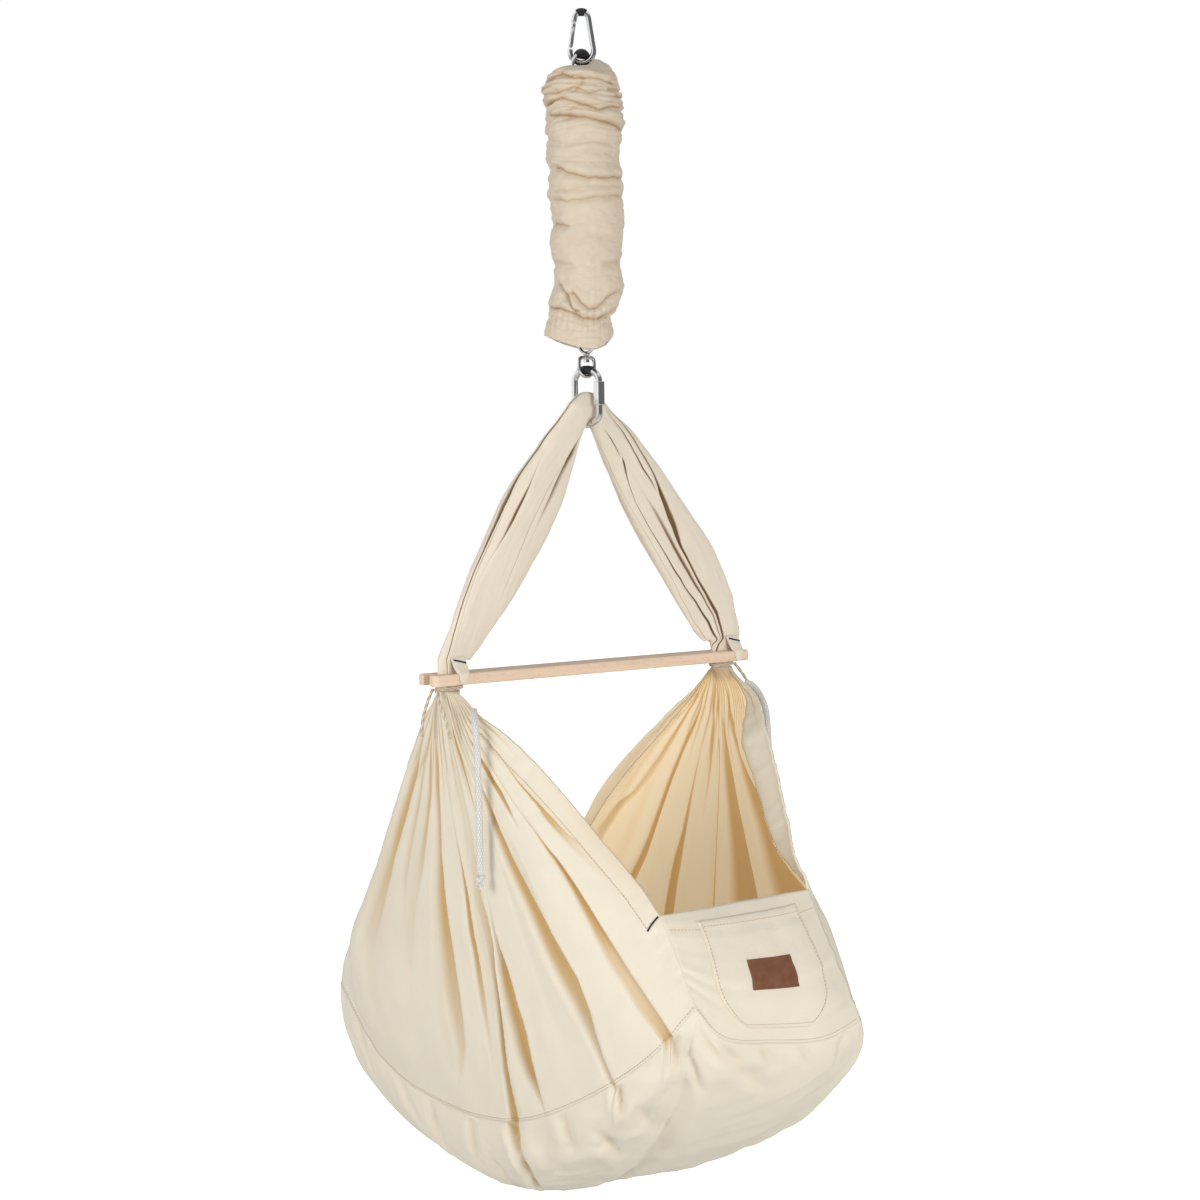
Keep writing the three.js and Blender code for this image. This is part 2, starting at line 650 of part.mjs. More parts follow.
// Tabs: a stitched strap end folded over the near prong and held by a tack
const tabProfile = [
  [neckHalf + seatGap + tabThickness * 0.4, barTop + barThickness * 1.3],
  [neckHalf + prong * 0.45, barTop + barThickness * 0.7],
  [barWidth / 2 - barCorner * 0.3, barTop + seatGap * 2 + tabThickness * 0.4],
  [barWidth / 2 + seatGap, barTop - barThickness * 0.08],
  [barWidth / 2 + seatGap, barTop - tabReach],
];
function tab(middle) {
  const widthShares = [1, 1, 1, 0.95, 0.5];
  const face = (lift) => tabProfile.map(([y, z], row) => {
    const rise = row < 3 ? lift : 0;
    const half = (tabWidth / 2) * widthShares[row];
    const out = row < 3 ? lift * 0.5 : lift;
    return [-1, 0, 1].map((k) => v3(middle + k * half, -y - out, z + rise));
  });
  return skin(face(tabThickness), face(0));
}
add('left_tab', tab(leftTabShift - neckX), strapCanvas);
add('right_tab', tab(rightTabShift + neckX), strapCanvas);

// Ties: a cord ring round each neck under the bar
const tieZ = (barFoot + neckFoot) / 2 - tieCord * 0.2;
function tieRing(side) {
  const reach = tieCord / 2 + seatGap;
  const path = range(16).map((i) => {
    const turn = (2 * Math.PI * i) / 16;
    const roundShare = 0.75;
    const c = Math.sign(Math.cos(turn)) * Math.abs(Math.cos(turn)) ** roundShare;
    const s = Math.sign(Math.sin(turn)) * Math.abs(Math.sin(turn)) ** roundShare;
    return v3(side * neckX + (strapNeckLength / 2 + reach) * c, (neckHalf + reach) * s, tieZ);
  });
  return loft(pathRings(path, tieCord / 2, up, 6, true), true);
}
add('left_neck_tie', tieRing(leftShare), cotton);
add('right_neck_tie', tieRing(rightShare), cotton);

// Side walls: each is a fan of cloth from its gather to the bag's seam. A column runs from the
// gather to the seam point given here, as shares of the bag's half width, half length and depth.
const wallTop = neckFoot - seatGap;
const gatherX = neckX + gatherThickness / 2;
const bagPoint = (side, [x, y, z]) =>
  v3(side * x * bagHalfWidth, y * bagHalfLength, -barDrop - z * bagDepth);
const seamShares = {
  left: [[0.64, -0.925, 0.532], [0.84, -0.8, 0.627], [0.95, -0.5, 0.734], [0.995, -0.155, 0.81],
    [1, 0.25, 0.831], [1.01, 0.65, 0.795], [1.02, 0.955, 0.67]],
  right: [[0.855, -0.915, 0.616], [0.985, -0.825, 0.67], [0.99, -0.5, 0.74], [0.995, -0.155, 0.81],
    [1, 0.25, 0.831], [1.01, 0.65, 0.795], [1, 0.945, 0.66]],
};
// How far the columns swell from a straight line at each inner row, in the same shares
const middleSwellShares = [
  [[0.03, -0.02, 0], [0.06, -0.035, 0], [0.05, -0.025, 0]],
  [[0.03, -0.01, 0], [0.065, -0.02, 0], [0.065, -0.015, 0]],
  [[0.03, 0, 0], [0.075, 0, 0], [0.075, 0, 0]],
  [[0.03, 0.04, 0], [0.075, 0.08, 0], [0.075, 0.08, 0]],
  [[-0.03, 0.115, -0.03], [0, 0.21, -0.03], [0.035, 0.24, -0.035]],
];
const swellShares = {
  left: [
    [[-0.03, -0.068, -0.037], [-0.12, -0.08, -0.022], [-0.15, -0.03, -0.026]],
    ...middleSwellShares,
    [[-0.155, -0.026, -0.063], [-0.245, 0.007, -0.041], [-0.16, 0.062, -0.017]],
  ],
  right: [
    [[-0.1, -0.088, -0.052], [-0.23, -0.118, -0.047], [-0.29, -0.045, -0.094]],
    [[0, -0.01, 0], [0.01, -0.015, 0], [0.04, -0.02, 0]],
    ...middleSwellShares.slice(1),
    [[-0.125, 0.01, -0.042], [-0.21, 0.075, -0.041], [-0.16, 0.06, -0.017]],
  ],
};
const rowShares = [0, 0.25, 0.5, 0.77, 1];
const curveThrough = (points) => new THREE.CatmullRomCurve3(points, false, 'catmullrom', 0.5);

// A row's place on a column's curve, whose knots are not evenly spaced
function rowPlace(v) {
  const next = Math.max(1, rowShares.findIndex((share) => share >= v - 1e-9));
  return (next - 1 + (v - rowShares[next - 1]) / (rowShares[next] - rowShares[next - 1])) / 4;
}
const wallRows = range(wallRowCount + 1).map((r) =>
  (r <= freeWallRowCount ? (r / freeWallRowCount) ** 1.15 * rowShares[3]
    : mix(rowShares[3], 1, (r - freeWallRowCount) / (wallRowCount - freeWallRowCount))));
const wallColumns = wallFoldCount * 4;

function wall(side) {
  const hand = side < 0 ? 'left' : 'right';
  const columns = seamShares[hand].map((share, c) => {
    const spread = mix(-gatherWidth / 2, gatherWidth / 2, c / 6);
    const start = v3(side * gatherX, spread, wallTop);
    const end = bagPoint(side, share);
    const inner = swellShares[hand][c].map(([x, y, z], i) => start.clone()
      .lerp(end, rowShares[i + 1])
      .add(v3(side * x * bagHalfWidth, y * bagHalfLength, -z * bagDepth)));
    return curveThrough([start, ...inner, end]);
  });
  const plain = (u, v) => curveThrough(columns.map((c) => c.getPoint(rowPlace(v)))).getPoint(u);
  const outward = (u, v) => {
    const nearShare = 0.01;
    const [u0, u1] = [Math.max(u - nearShare, 0), Math.min(u + nearShare, 1)];
    const [v0, v1] = [Math.max(v - nearShare, 0.04), Math.max(Math.min(v + nearShare, 1), 0.06)];
    const du = plain(u1, v).sub(plain(u0, v));
    const dv = plain(u, v1).sub(plain(u, v0));
    const n = du.cross(dv).normalize();
    if (n.x * side < 0) n.negate();
    return v3(side, 0, 0).lerp(n, smooth(0, 0.2, v)).normalize();
  };
  return { plain, outward };
}
// The sideways direction out of the bag at a seam, which all pieces that meet there share
function seamOut(point) {
  const reach = bagHalfLength * 0.55;
  const y = point.y - THREE.MathUtils.clamp(point.y, -reach, reach);
  return v3(point.x / bagHalfWidth, (y * 1.6) / (bagHalfLength - reach), 0).normalize();
}
const walls = { left: wall(leftShare), right: wall(rightShare) };
function wallGrids(hand) {
  const { plain, outward } = walls[hand];
  const outer = [];
  const inner = [];
  wallRows.forEach((v, row) => {
    const outerRow = [];
    const innerRow = [];
    for (let c = 0; c <= wallColumns; c++) {
      const u = c / wallColumns;
      const p = plain(u, v);
      const flatHem = smooth(0.04, 0.12, u) * (1 - smooth(0.88, 0.96, u));
      const reach = smooth(0, 0.1, v) * (1 - smooth(0.45, 0.92, v));
      const wave = Math.cos(2 * Math.PI * wallFoldCount * u);
      const out = outward(u, v).lerp(seamOut(p), smooth(0.5, 0.76, v)).normalize();
      const hem = (1 - flatHem) * (hemThickness - clothThickness) * (1 - smooth(0.6, 0.77, v));
      const gather = (gatherThickness - clothThickness) * Math.exp(-v / 0.05);
      p.addScaledVector(out, foldDepth * flatHem * reach * wave);
      if (row === wallRowCount) p.z += seatGap / 2;
      outerRow.push(p);
      innerRow.push(p.clone().addScaledVector(out, -clothThickness - hem - gather));
    }
    outer.push(outerRow);
    inner.push(innerRow);
  });
  return { outer, inner };
}
const grids = { left: wallGrids('left'), right: wallGrids('right') };
add('left_side_wall', skin(grids.left.outer, grids.left.inner), canvas);
add('right_side_wall', skin(grids.right.outer, grids.right.inner), canvas);

// End panels: cloth between the side walls' edges, its lower edge on the seam
function endPanel(front) {
  const column = front ? 0 : wallColumns;
  const edge = (hand) => grids[hand].outer.slice(freeWallRowCount).map((row) => row[column].clone());
  const [l, r] = [edge('left'), edge('right')];
  const rows = l.length;
  const out = front ? -1 : 1;
  const dipShares = front
    ? [[-0.43, -0.9425, 0.592], [0, -0.9325, 0.618], [0.43, -0.95, 0.629]]
    : [[-0.55, 1.03, 0.7], [0, 1.055, 0.715], [0.55, 1.03, 0.7]];
  const corners = [l[rows - 1], r[rows - 1]].map((p) => p.clone().setZ(p.z - seatGap / 2));
  const seam = curveThrough([corners[0], ...dipShares.map((s) => bagPoint(1, s)), corners[1]]);
  const topSag = front ? 0 : bagDepth * 0.02;
  const place = (a, b) => {
    const at = b * (rows - 1);
    const i = Math.min(Math.floor(at), rows - 2);
    const leftEdge = l[i].clone().lerp(l[i + 1], at - i);
    const rightEdge = r[i].clone().lerp(r[i + 1], at - i);
    const top = l[0].clone().lerp(r[0], a);
    const foot = seam.getPoint(a);
    const corner = l[0].clone().lerp(r[0], a).lerp(corners[0].clone().lerp(corners[1], a), b);
    const p = leftEdge.lerp(rightEdge, a).add(top.lerp(foot, b)).sub(corner);
    const belly = 16 * a * (1 - a) * b * (1 - b);
    p.y += out * panelBelly * belly;
    p.z -= topSag * 4 * a * (1 - a) * (1 - b);
    return p;
  };
  return { place, seam, rows, out };
}
const ends = { front: endPanel(true), back: endPanel(false) };
const panelOut = (a, out) => v3(mix(-1, 1, a) * 0.75, out * (0.55 + 1.8 * a * (1 - a)), 0).normalize();
function panelGrid({ place, rows, out }, depth) {
  const inset = seatGap / (bagHalfWidth * 1.2);
  return range(rows).map((row) => range(panelColumnCount + 1).map((c) => {
    const a = mix(inset, 1 - inset, c / panelColumnCount);
    const b = row / (rows - 1);
    const p = place(a, b);
    if (row === rows - 1) p.z += seatGap / 2;
    const edge = Math.min(a, 1 - a);
    const direction = panelOut(a, out).lerp(seamOut(p), Math.max(smooth(0.5, 1, b), 1 - smooth(0, 0.2, edge)));
    return p.addScaledVector(direction.normalize(), -depth);
  }));
}
const panelSkin = (end) => skin(panelGrid(end, 0), panelGrid(end, clothThickness));
add('front_end_panel', panelSkin(ends.front), canvas);
add('back_end_panel', panelSkin(ends.back), canvas);

// Front pocket and the plain leather patch sewn on it
// A point on the front panel's flat faces, and a flat piece that follows them
const frontGrid = panelGrid(ends.front, 0);
function onFrontPanel(a, b) {
  const last = frontGrid.length - 2;
  const row = Math.min(Math.floor(b * (last + 1) + 1e-9), last);
  const column = Math.min(Math.floor(a * panelColumnCount + 1e-9), panelColumnCount - 1);
  const [s, t] = [a * panelColumnCount - column, b * (last + 1) - row];
  const [near, far] = [frontGrid[row], frontGrid[row + 1]];
  const corner = s > t ? near[column + 1] : far[column];
  const [first, second] = s > t ? [s, t] : [t, s];
  return near[column].clone().multiplyScalar(1 - first)
    .addScaledVector(corner, first - second)
    .addScaledVector(far[column + 1], second);
}
function panelPatch(map, colCount, rows, low, high) {
  const grid = (lift) => rows.map((q) => range(colCount + 1).map((j) => {
    const [a, b] = map(j / colCount, q);
    const nearShare = 0.05;
    const p = onFrontPanel(a, b);
    const du = onFrontPanel(a + nearShare, b).sub(onFrontPanel(a - nearShare, b));
    const dv = onFrontPanel(a, b + nearShare).sub(onFrontPanel(a, b - nearShare));
    const n = du.cross(dv).normalize();
    if (n.y > 0) n.negate();
    return p.addScaledVector(n, lift);
  }));
  return skin(grid(high), grid(low));
}
// The pocket's and the patch's rows, as shares of the panel's height
const pocketBase = seatGap * 7;
const pocketRowShares = [0.09, 0.2, 0.4, 0.6, 0.8, 0.88];
const pocketMap = (p, b) => {
  const narrow = 1 - 0.5 * smooth(0.5, 0.9, b) ** 1.4;
  return [0.53 + (p - 0.5) * 0.66 * narrow, b];
};
add('front_pocket', panelPatch(
  pocketMap, panelColumnCount, pocketRowShares, pocketBase, pocketBase + pocketThickness,
), canvas);
const patchBase = pocketBase + pocketThickness + seatGap * 2;
const panelMidWidth = ends.front.place(0, 0.5).distanceTo(ends.front.place(1, 0.5));
const panelHeight = ends.front.place(0.5, 0).distanceTo(ends.front.place(0.5, 1));
const patchMap = (p, q) => [
  0.53 + (p - 0.5) * patchWidth / panelMidWidth,
  0.5 + (q - 0.5) * patchHeight / panelHeight,
];
add('leather_patch', panelPatch(patchMap, 4, [0, 0.5, 1], patchBase, patchBase + patchThickness), leather);

// Base: a deep bowl under the seam, and the mattress on its floor
const seamLoop = [];
const gapDown = seatGap / 2;
const seamRow = (hand) => grids[hand].outer[wallRowCount].map((p) => p.clone().setZ(p.z - 2 * gapDown));
const panelSeam = ({ seam }) => range(panelColumnCount + 1).map((c) => {
  const inset = seatGap / (bagHalfWidth * 1.2);
  return seam.getPoint(mix(inset, 1 - inset, c / panelColumnCount)).add(v3(0, 0, -gapDown));
});
seamLoop.push(...seamRow('left'));
seamLoop.push(...panelSeam(ends.back).slice(1, -1));
seamLoop.push(...seamRow('right').reverse());
seamLoop.push(...panelSeam(ends.front).slice(1, -1).reverse());
const bowlCentre = v3(0, bagHalfLength * 0.12, -barDrop - bagDepth);
function bowlPoint(rim, w) {
  const away = rim.clone().sub(bowlCentre).setZ(0).normalize();
  const sideways = Math.abs(away.x) ** 3;
  const power = mix(mix(2.3, 1.55, smooth(-0.2, 0.2, -away.y)), 2.9, sideways);
  const across2 = Math.cos(w * Math.PI / 2) ** (2 / power);
  const down = Math.sin(w * Math.PI / 2) ** (2 / power);
  const p = bowlCentre.clone().lerp(rim, across2);
  p.z = mix(rim.z, bowlCentre.z, down);
  return p;
}
function bowl(inset, from, to, rings, rimInset = inset) {
  return range(rings + 1).map((k) => {
    const w = mix(from, to, k / rings);
    return seamLoop.map((rim) => {
      const p = bowlPoint(rim, w);
      const inward = seamOut(rim).lerp(v3(0, 0, -1), smooth(0, 0.75, w)).normalize();
      return p.addScaledVector(inward, -mix(rimInset, inset, smooth(0, 0.2, w)));
    });
  });
}
// A shallow cap closes each surface at the middle
function bowlBody(outer, inner) {
  const n = outer[0].length;
  const rows = outer.length;
  const points = [...outer.flat(), ...inner.flat()];
  const at = (s, r, c) => (s * rows + r) * n + (c % n);
  const faces = [];
  const quad = (a, b, c, d) => faces.push(a, b, c, a, c, d);
  for (let c = 0; c < n; c++) {
    for (let r = 0; r < rows - 1; r++) {
      quad(at(0, r, c), at(0, r, c + 1), at(0, r + 1, c + 1), at(0, r + 1, c));
      quad(at(1, r + 1, c), at(1, r + 1, c + 1), at(1, r, c + 1), at(1, r, c));
    }
    quad(at(0, 0, c + 1), at(0, 0, c), at(1, 0, c), at(1, 0, c + 1));
  }
  for (const s of [0, 1]) {
    const middle = points.length;
    const ringPoints = (s ? inner : outer)[rows - 1];
    points.push(ringPoints.reduce((sum, p) => sum.add(p), v3(0, 0, 0)).divideScalar(n));
    for (let c = 0; c < n; c++) {
      if (s) faces.push(middle, at(1, rows - 1, c + 1), at(1, rows - 1, c));
      else faces.push(middle, at(0, rows - 1, c), at(0, rows - 1, c + 1));
    }
  }
  return body(points, faces);
}
const floorShare = 0.86;
const baseInside = bowl(clothThickness, 0, floorShare, baseRingCount);
add('base_panel', bowlBody(bowl(0, 0, floorShare, baseRingCount), baseInside), canvas);

// The mattress follows the floor's flat faces, nearer the front than the back
const frontRimShare = 0.36;
const backRimShare = 0.59;
const mattressRingCount = 3;
function onFloor(column, w) {
  const at = (w / floorShare) * baseRingCount;
  const ring = Math.min(Math.floor(at + 1e-9), baseRingCount - 1);
  return baseInside[ring][column].clone().lerp(baseInside[ring + 1][column], at - ring)
    .add(v3(0, 0, mattressClear));
}
const underside = range(mattressRingCount + 1).map((k) => seamLoop.map((rim, column) => {
  const away = rim.clone().sub(bowlCentre).setZ(0).normalize();
  const edge = mix(frontRimShare, backRimShare, smooth(-1, 1, away.y));
  return onFloor(column, mix(edge, floorShare, k / mattressRingCount));
}));
const rimHeight = mattressThickness * 0.6;
const topside = underside.map((ringPoints, k) => ringPoints.map((p) => {
  const crown = mix(rimHeight, mattressThickness, smooth(0, 1, k / mattressRingCount));
  const inset = k === 0 ? 0.985 : 1;
  return v3(p.x * inset, bowlCentre.y + (p.y - bowlCentre.y) * inset, p.z + crown);
}));
add('mattress', bowlBody(underside, topside), cotton);

// Cords: hand-chosen routes, as they hang in use
function cord(points, diameter, steps) {
  const sides = 8;
  const shape = new THREE.Shape(range(sides).map((i) => {
    const turn = (2 * Math.PI * i) / sides;
    return new THREE.Vector2((diameter / 2) * Math.cos(turn), (diameter / 2) * Math.sin(turn));
  }));
  const path = new THREE.CatmullRomCurve3(points.map(([x, y, z]) => v3(x, y, z)), false, 'catmullrom', 0.5);
  return new THREE.ExtrudeGeometry(shape, { steps, bevelEnabled: false, extrudePath: path });
}
const leftDrawcordPoints = [[-231.6, -63.7, -910.3], [-238.4, -74, -917], [-243, -84, -930], [-244, -88, -955],
  [-244, -89, -990], [-244, -90, -1030], [-244, -90, -1075], [-244, -90, -1116]];
const rightDrawcordPoints = [[242, -36.6, -910.3], [250.2, -45, -917], [254, -56, -930], [253, -68, -948],
  [250, -76, -972], [248, -80, -1000], [248, -81, -1040], [248, -81, -1080], [248, -81, -1112]];
const leftTailPoints = [[-251.4, 3.2, -887], [-255.5, 7, -899], [-261, 14, -925], [-262, 17, -948]];
const leftNearTailPoints = [[-251.2, -3.8, -887], [-256, -19, -903], [-257, -33, -921], [-255, -41, -946]];
const rightTailPoints = [[251.3, -2, -887], [259, -7, -899], [268, -10, -914], [272, -10, -930]];
const drawcordStepCount = 14;
const tailDiameter = 5;
const tailStepCount = 6;
add('left_tie_tail', cord(leftTailPoints, tailDiameter, tailStepCount), cotton);
add('left_near_tie_tail', cord(leftNearTailPoints, tailDiameter, tailStepCount), cotton);
add('right_tie_tail', cord(rightTailPoints, tailDiameter, tailStepCount), cotton);
add('left_drawcord', cord(leftDrawcordPoints, drawcord, drawcordStepCount), cotton);
add('right_drawcord', cord(rightDrawcordPoints, drawcord, drawcordStepCount), cotton);
function knot(points) {
  const end = v3(...points[points.length - 1]);
  const before = v3(...points[points.length - 2]);
  const along = end.clone().sub(before).normalize();
  const centre = end.addScaledVector(along, knotRadius * 1.15 + seatGap);
  const ball = new THREE.SphereGeometry(knotRadius, 12, 8).scale(1, 1, 1.15);
  ball.applyQuaternion(new THREE.Quaternion().setFromUnitVectors(up, along));
  return ball.translate(centre.x, centre.y, centre.z);
}
add('left_drawcord_knot', knot(leftDrawcordPoints), cotton);
add('right_drawcord_knot', knot(rightDrawcordPoints), cotton);

export default cradle;
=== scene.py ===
import bpy
import numpy as np
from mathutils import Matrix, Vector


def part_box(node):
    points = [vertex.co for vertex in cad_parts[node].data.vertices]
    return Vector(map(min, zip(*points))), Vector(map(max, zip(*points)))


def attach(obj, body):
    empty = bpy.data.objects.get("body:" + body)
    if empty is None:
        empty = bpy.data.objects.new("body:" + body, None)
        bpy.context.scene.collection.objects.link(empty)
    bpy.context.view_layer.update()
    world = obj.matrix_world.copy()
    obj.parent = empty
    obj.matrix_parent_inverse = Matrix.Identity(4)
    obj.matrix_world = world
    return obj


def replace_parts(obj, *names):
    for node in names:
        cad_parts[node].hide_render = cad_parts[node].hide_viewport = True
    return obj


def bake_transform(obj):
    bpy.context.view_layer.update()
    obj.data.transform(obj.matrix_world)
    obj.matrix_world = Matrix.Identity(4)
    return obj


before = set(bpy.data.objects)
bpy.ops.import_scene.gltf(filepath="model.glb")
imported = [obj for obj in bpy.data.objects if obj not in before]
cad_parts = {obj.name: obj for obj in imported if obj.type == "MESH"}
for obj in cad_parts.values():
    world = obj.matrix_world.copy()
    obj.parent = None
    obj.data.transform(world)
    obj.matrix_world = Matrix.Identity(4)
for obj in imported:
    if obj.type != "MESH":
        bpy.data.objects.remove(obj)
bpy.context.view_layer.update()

# Viewpoint
# The cradle is seen from its front left through a long lens, level with the middle of the
# straps and looking slightly down.
picture_side, focal_pixels = 1200, 2206
horizon_row = 451
view_turn, view_roll = np.radians(-36), 0.0147
view_distance, view_aside, view_height = 3.0, 0.0135, -0.5815
view_pitch = np.arctan((picture_side / 2 - horizon_row) / focal_pixels)
to_right = np.array([np.cos(view_turn), np.sin(view_turn), 0])
to_viewer = np.array([np.sin(view_turn), -np.cos(view_turn), 0])
sight = -to_viewer * np.cos(view_pitch) + np.array([0, 0, -np.sin(view_pitch)])
above = np.cross(to_right, sight)
camera_data = bpy.data.cameras.new("viewpoint")
camera_data.sensor_width = 36
camera_data.lens = camera_data.sensor_width * focal_pixels / picture_side
camera_data.clip_end = 60


def put_in_scene(name, data):
    """An object for a mesh, a lamp or the camera."""
    holder = bpy.data.objects.new(name, data)
    bpy.context.scene.collection.objects.link(holder)
    return holder


camera = put_in_scene("viewpoint", camera_data)
view_axes = np.eye(4)
view_axes[:3, 0] = to_right * np.cos(view_roll) - above * np.sin(view_roll)
view_axes[:3, 1] = to_right * np.sin(view_roll) + above * np.cos(view_roll)
view_axes[:3, 2] = -sight
view_axes[:3, 3] = to_viewer * view_distance + to_right * view_aside
view_axes[2, 3] += view_height
camera.matrix_world = view_axes.T.tolist()
bpy.context.scene.camera = camera

# Drawcords
# A white braided cotton rope comes out at the end of each side hem, hangs down over the cloth,
# and ends in a knot with a frayed tuft.
both_sides = (("left", -1), ("right", 1))
drawcord_diameter = 0.009
# Points of each rope's middle line in millimetres
drawcord_routes = {
    "left": [[-231.6, -63.7, -910.3], [-238.4, -74, -917], [-243, -84, -930], [-244, -88, -955],
             [-244, -89, -990], [-244, -90, -1030], [-244, -90, -1075], [-244, -90, -1116]],
    "right": [[242, -36.6, -910.3], [250.2, -45, -917], [254, -56, -930], [253, -68, -948],
              [250, -76, -972], [248, -80, -1000], [248, -81, -1040], [248, -81, -1080],
              [248, -81, -1112]],
}
drawcord_steps, drawcord_sides = 420, 32
braid_strands, braid_pitch, braid_depth = 8, 0.016, 0.0005
knot_steps, knot_sides, knot_radius, knot_rope = 140, 16, 0.0075, 0.0026
tuft_yarns, tuft_spread, tuft_length, yarn_radius = 46, 0.0022, 0.0075, 0.00042


def ease(low, high, x):
    """0 below low, 1 above high, and between them 3t^2 - 2t^3 of the share t."""
    t = np.clip((x - low) / (high - low), 0, 1)
    return t * t * (3 - 2 * t)


def unit(vectors):
    """Each vector divided by its own length."""
    return vectors / np.maximum(np.linalg.norm(vectors, axis=-1, keepdims=True), 1e-12)


def run_along(path):
    """The length from the start of a path to each of its points."""
    return np.concatenate([[0], np.cumsum(np.linalg.norm(np.diff(path, axis=0), axis=1))])


def curve_through(points, shares):
    """Catmull-Rom curve: a cubic between each two points, whose slope at a point is half the
    way from the point before it to the one after. Works on rows of points of any width."""
    points = np.asarray(points, float)
    ends = [2 * points[:1] - points[1:2], points, 2 * points[-1:] - points[-2:-1]]
    held = np.concatenate(ends)
    place = np.clip(np.asarray(shares, float), 0, 1) * (len(points) - 1)
    i = np.minimum(np.floor(place).astype(int), len(points) - 2)
    w = (place - i).reshape(i.shape + (1,) * (points.ndim - 1))
    before, start, end, after = held[i], held[i + 1], held[i + 2], held[i + 3]
    rise, fall = (end - before) / 2, (after - start) / 2
    return ((2 * w**3 - 3 * w**2 + 1) * start + (w**3 - 2 * w**2 + w) * rise
            + (3 * w**2 - 2 * w**3) * end + (w**3 - w**2) * fall)


def tube_grid(path, radius, sides, reference, closed=False):
    """Rings round a path: at each point, radius times cos and sin of the turn along two axes
    square to the path, the first of them reference x tangent. Radius is one value, one for
    each ring, or one for each point of each ring."""
    if closed:
        tangent = np.roll(path, -1, axis=0) - np.roll(path, 1, axis=0)
    else:
        tangent = np.gradient(path, axis=0)
    tangent = unit(tangent)
    first = unit(np.cross(np.broadcast_to(reference, path.shape), tangent))
    second = np.cross(tangent, first)
    turn = np.linspace(0, 2 * np.pi, sides, endpoint=False)
    size = np.asarray(radius, float)
    size = size[:, None] if size.ndim == 1 else size
    size = np.broadcast_to(size, (len(path), sides))[..., None]
    across = np.cos(turn)[None, :, None] * first[:, None]
    return path[:, None] + size * (across + np.sin(turn)[None, :, None] * second[:, None])


def loft_faces(rows, columns, ring=False):
    """Quads between neighbours on two rings, and a fan of triangles on a middle point at each
    end, unless the last ring joins the first."""
    r, c = np.meshgrid(np.arange(rows if ring else rows - 1), np.arange(columns), indexing="ij")
    r2, c2 = (r + 1) % rows, (c + 1) % columns
    quads = np.stack([r * columns + c, r * columns + c2, r2 * columns + c2, r2 * columns + c], -1)
    c = np.arange(columns)
    c2 = (c + 1) % columns
    last = (rows - 1) * columns
    start = np.stack([np.full(columns, rows * columns), c2, c], -1)
    end = np.stack([np.full(columns, rows * columns + 1), last + c, last + c2], -1)
    fans = np.zeros((0, 3), int) if ring else np.concatenate([start, end])
    return quads.reshape(-1, 4), fans


def make_piece(name, points, quads, fans, material, body, uv=None, marks=None):
    """A smooth mesh object from arrays. The faces are turned over if the volume they enclose,
    the sum of a . (b x c) over the triangles, comes out negative."""
    a, b, c, d = (points[quads[:, k]] for k in range(4))
    volume = np.einsum("ij,ij->", a, np.cross(b, c)) + np.einsum("ij,ij->", a, np.cross(c, d))
    if len(fans):
        a, b, c = (points[fans[:, k]] for k in range(3))
        volume += np.einsum("ij,ij->", a, np.cross(b, c))
    turned_over = volume < 0
    if turned_over:
        quads, fans = quads[:, ::-1], fans[:, ::-1]
        uv = None if uv is None else uv[:, ::-1]
    mesh = bpy.data.meshes.new(name)
    corners = np.concatenate([quads.ravel(), fans.ravel()])
    starts = np.concatenate([np.arange(len(quads)) * 4, len(quads) * 4 + np.arange(len(fans)) * 3])
    mesh.vertices.add(len(points))
    mesh.vertices.foreach_set("co", points.astype(np.float32).ravel())
    mesh.loops.add(len(corners))
    mesh.loops.foreach_set("vertex_index", corners.astype(np.int32))
    mesh.polygons.add(len(starts))
    mesh.polygons.foreach_set("loop_start", starts.astype(np.int32))
    mesh.polygons.foreach_set("use_smooth", np.ones(len(starts), bool))
    mesh.update(calc_edges=True)
    mesh.validate()
    if uv is not None:
        layer = mesh.uv_layers.new(name="cloth")
        flat = np.zeros((len(corners), 2), np.float32)
        flat[:len(quads) * 4] = uv.reshape(-1, 2)
        layer.data.foreach_set("uv", flat.ravel())
    for mark, values in (marks or {}).items():
        attribute = mesh.attributes.new(mark, "FLOAT", "POINT")
        attribute.data.foreach_set("value", np.ascontiguousarray(values, np.float32).ravel())
    piece = put_in_scene(name, mesh)
    mesh.materials.append(material)
    if body:
        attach(piece, body)
    return piece


def grid_uv(quads, columns, lay):
    """For each corner of each quad, the lengths across and along the cloth at its row and
    column. A corner past the last column takes the one more column that the lay has."""
    row, column = np.divmod(quads, columns)
    wraps = (column.max(axis=1) - column.min(axis=1) > 1)[:, None] & (column == 0)
    return lay[row, np.where(wraps, columns, column)]


def make_tube(name, grid, material, body, ring=False, lay=None, marks=None):
    """A tube from its rings, with its ends closed on their middle points."""
    rows, columns = grid.shape[:2]
    quads, fans = loft_faces(rows, columns, ring)
    points = grid.reshape(-1, 3)
    if not ring:
        points = np.concatenate([points, grid[:1].mean(axis=1), grid[-1:].mean(axis=1)])
        marks = {mark: np.append(values.ravel(), [values[0].mean(), values[-1].mean()])
                 for mark, values in (marks or {}).items()}
    uv = None if lay is None else grid_uv(quads, columns, lay)
    return make_piece(name, points, quads, fans, material, body, uv, marks)


def trefoil(steps, size, depth=1):
    """The closed line of an overhand knot."""
    t = np.linspace(0, 2 * np.pi, steps, endpoint=False)
    return np.stack([np.sin(t) + 2 * np.sin(2 * t), np.sin(3 * t) * depth,
                     np.cos(t) - 2 * np.cos(2 * t)], -1) * size


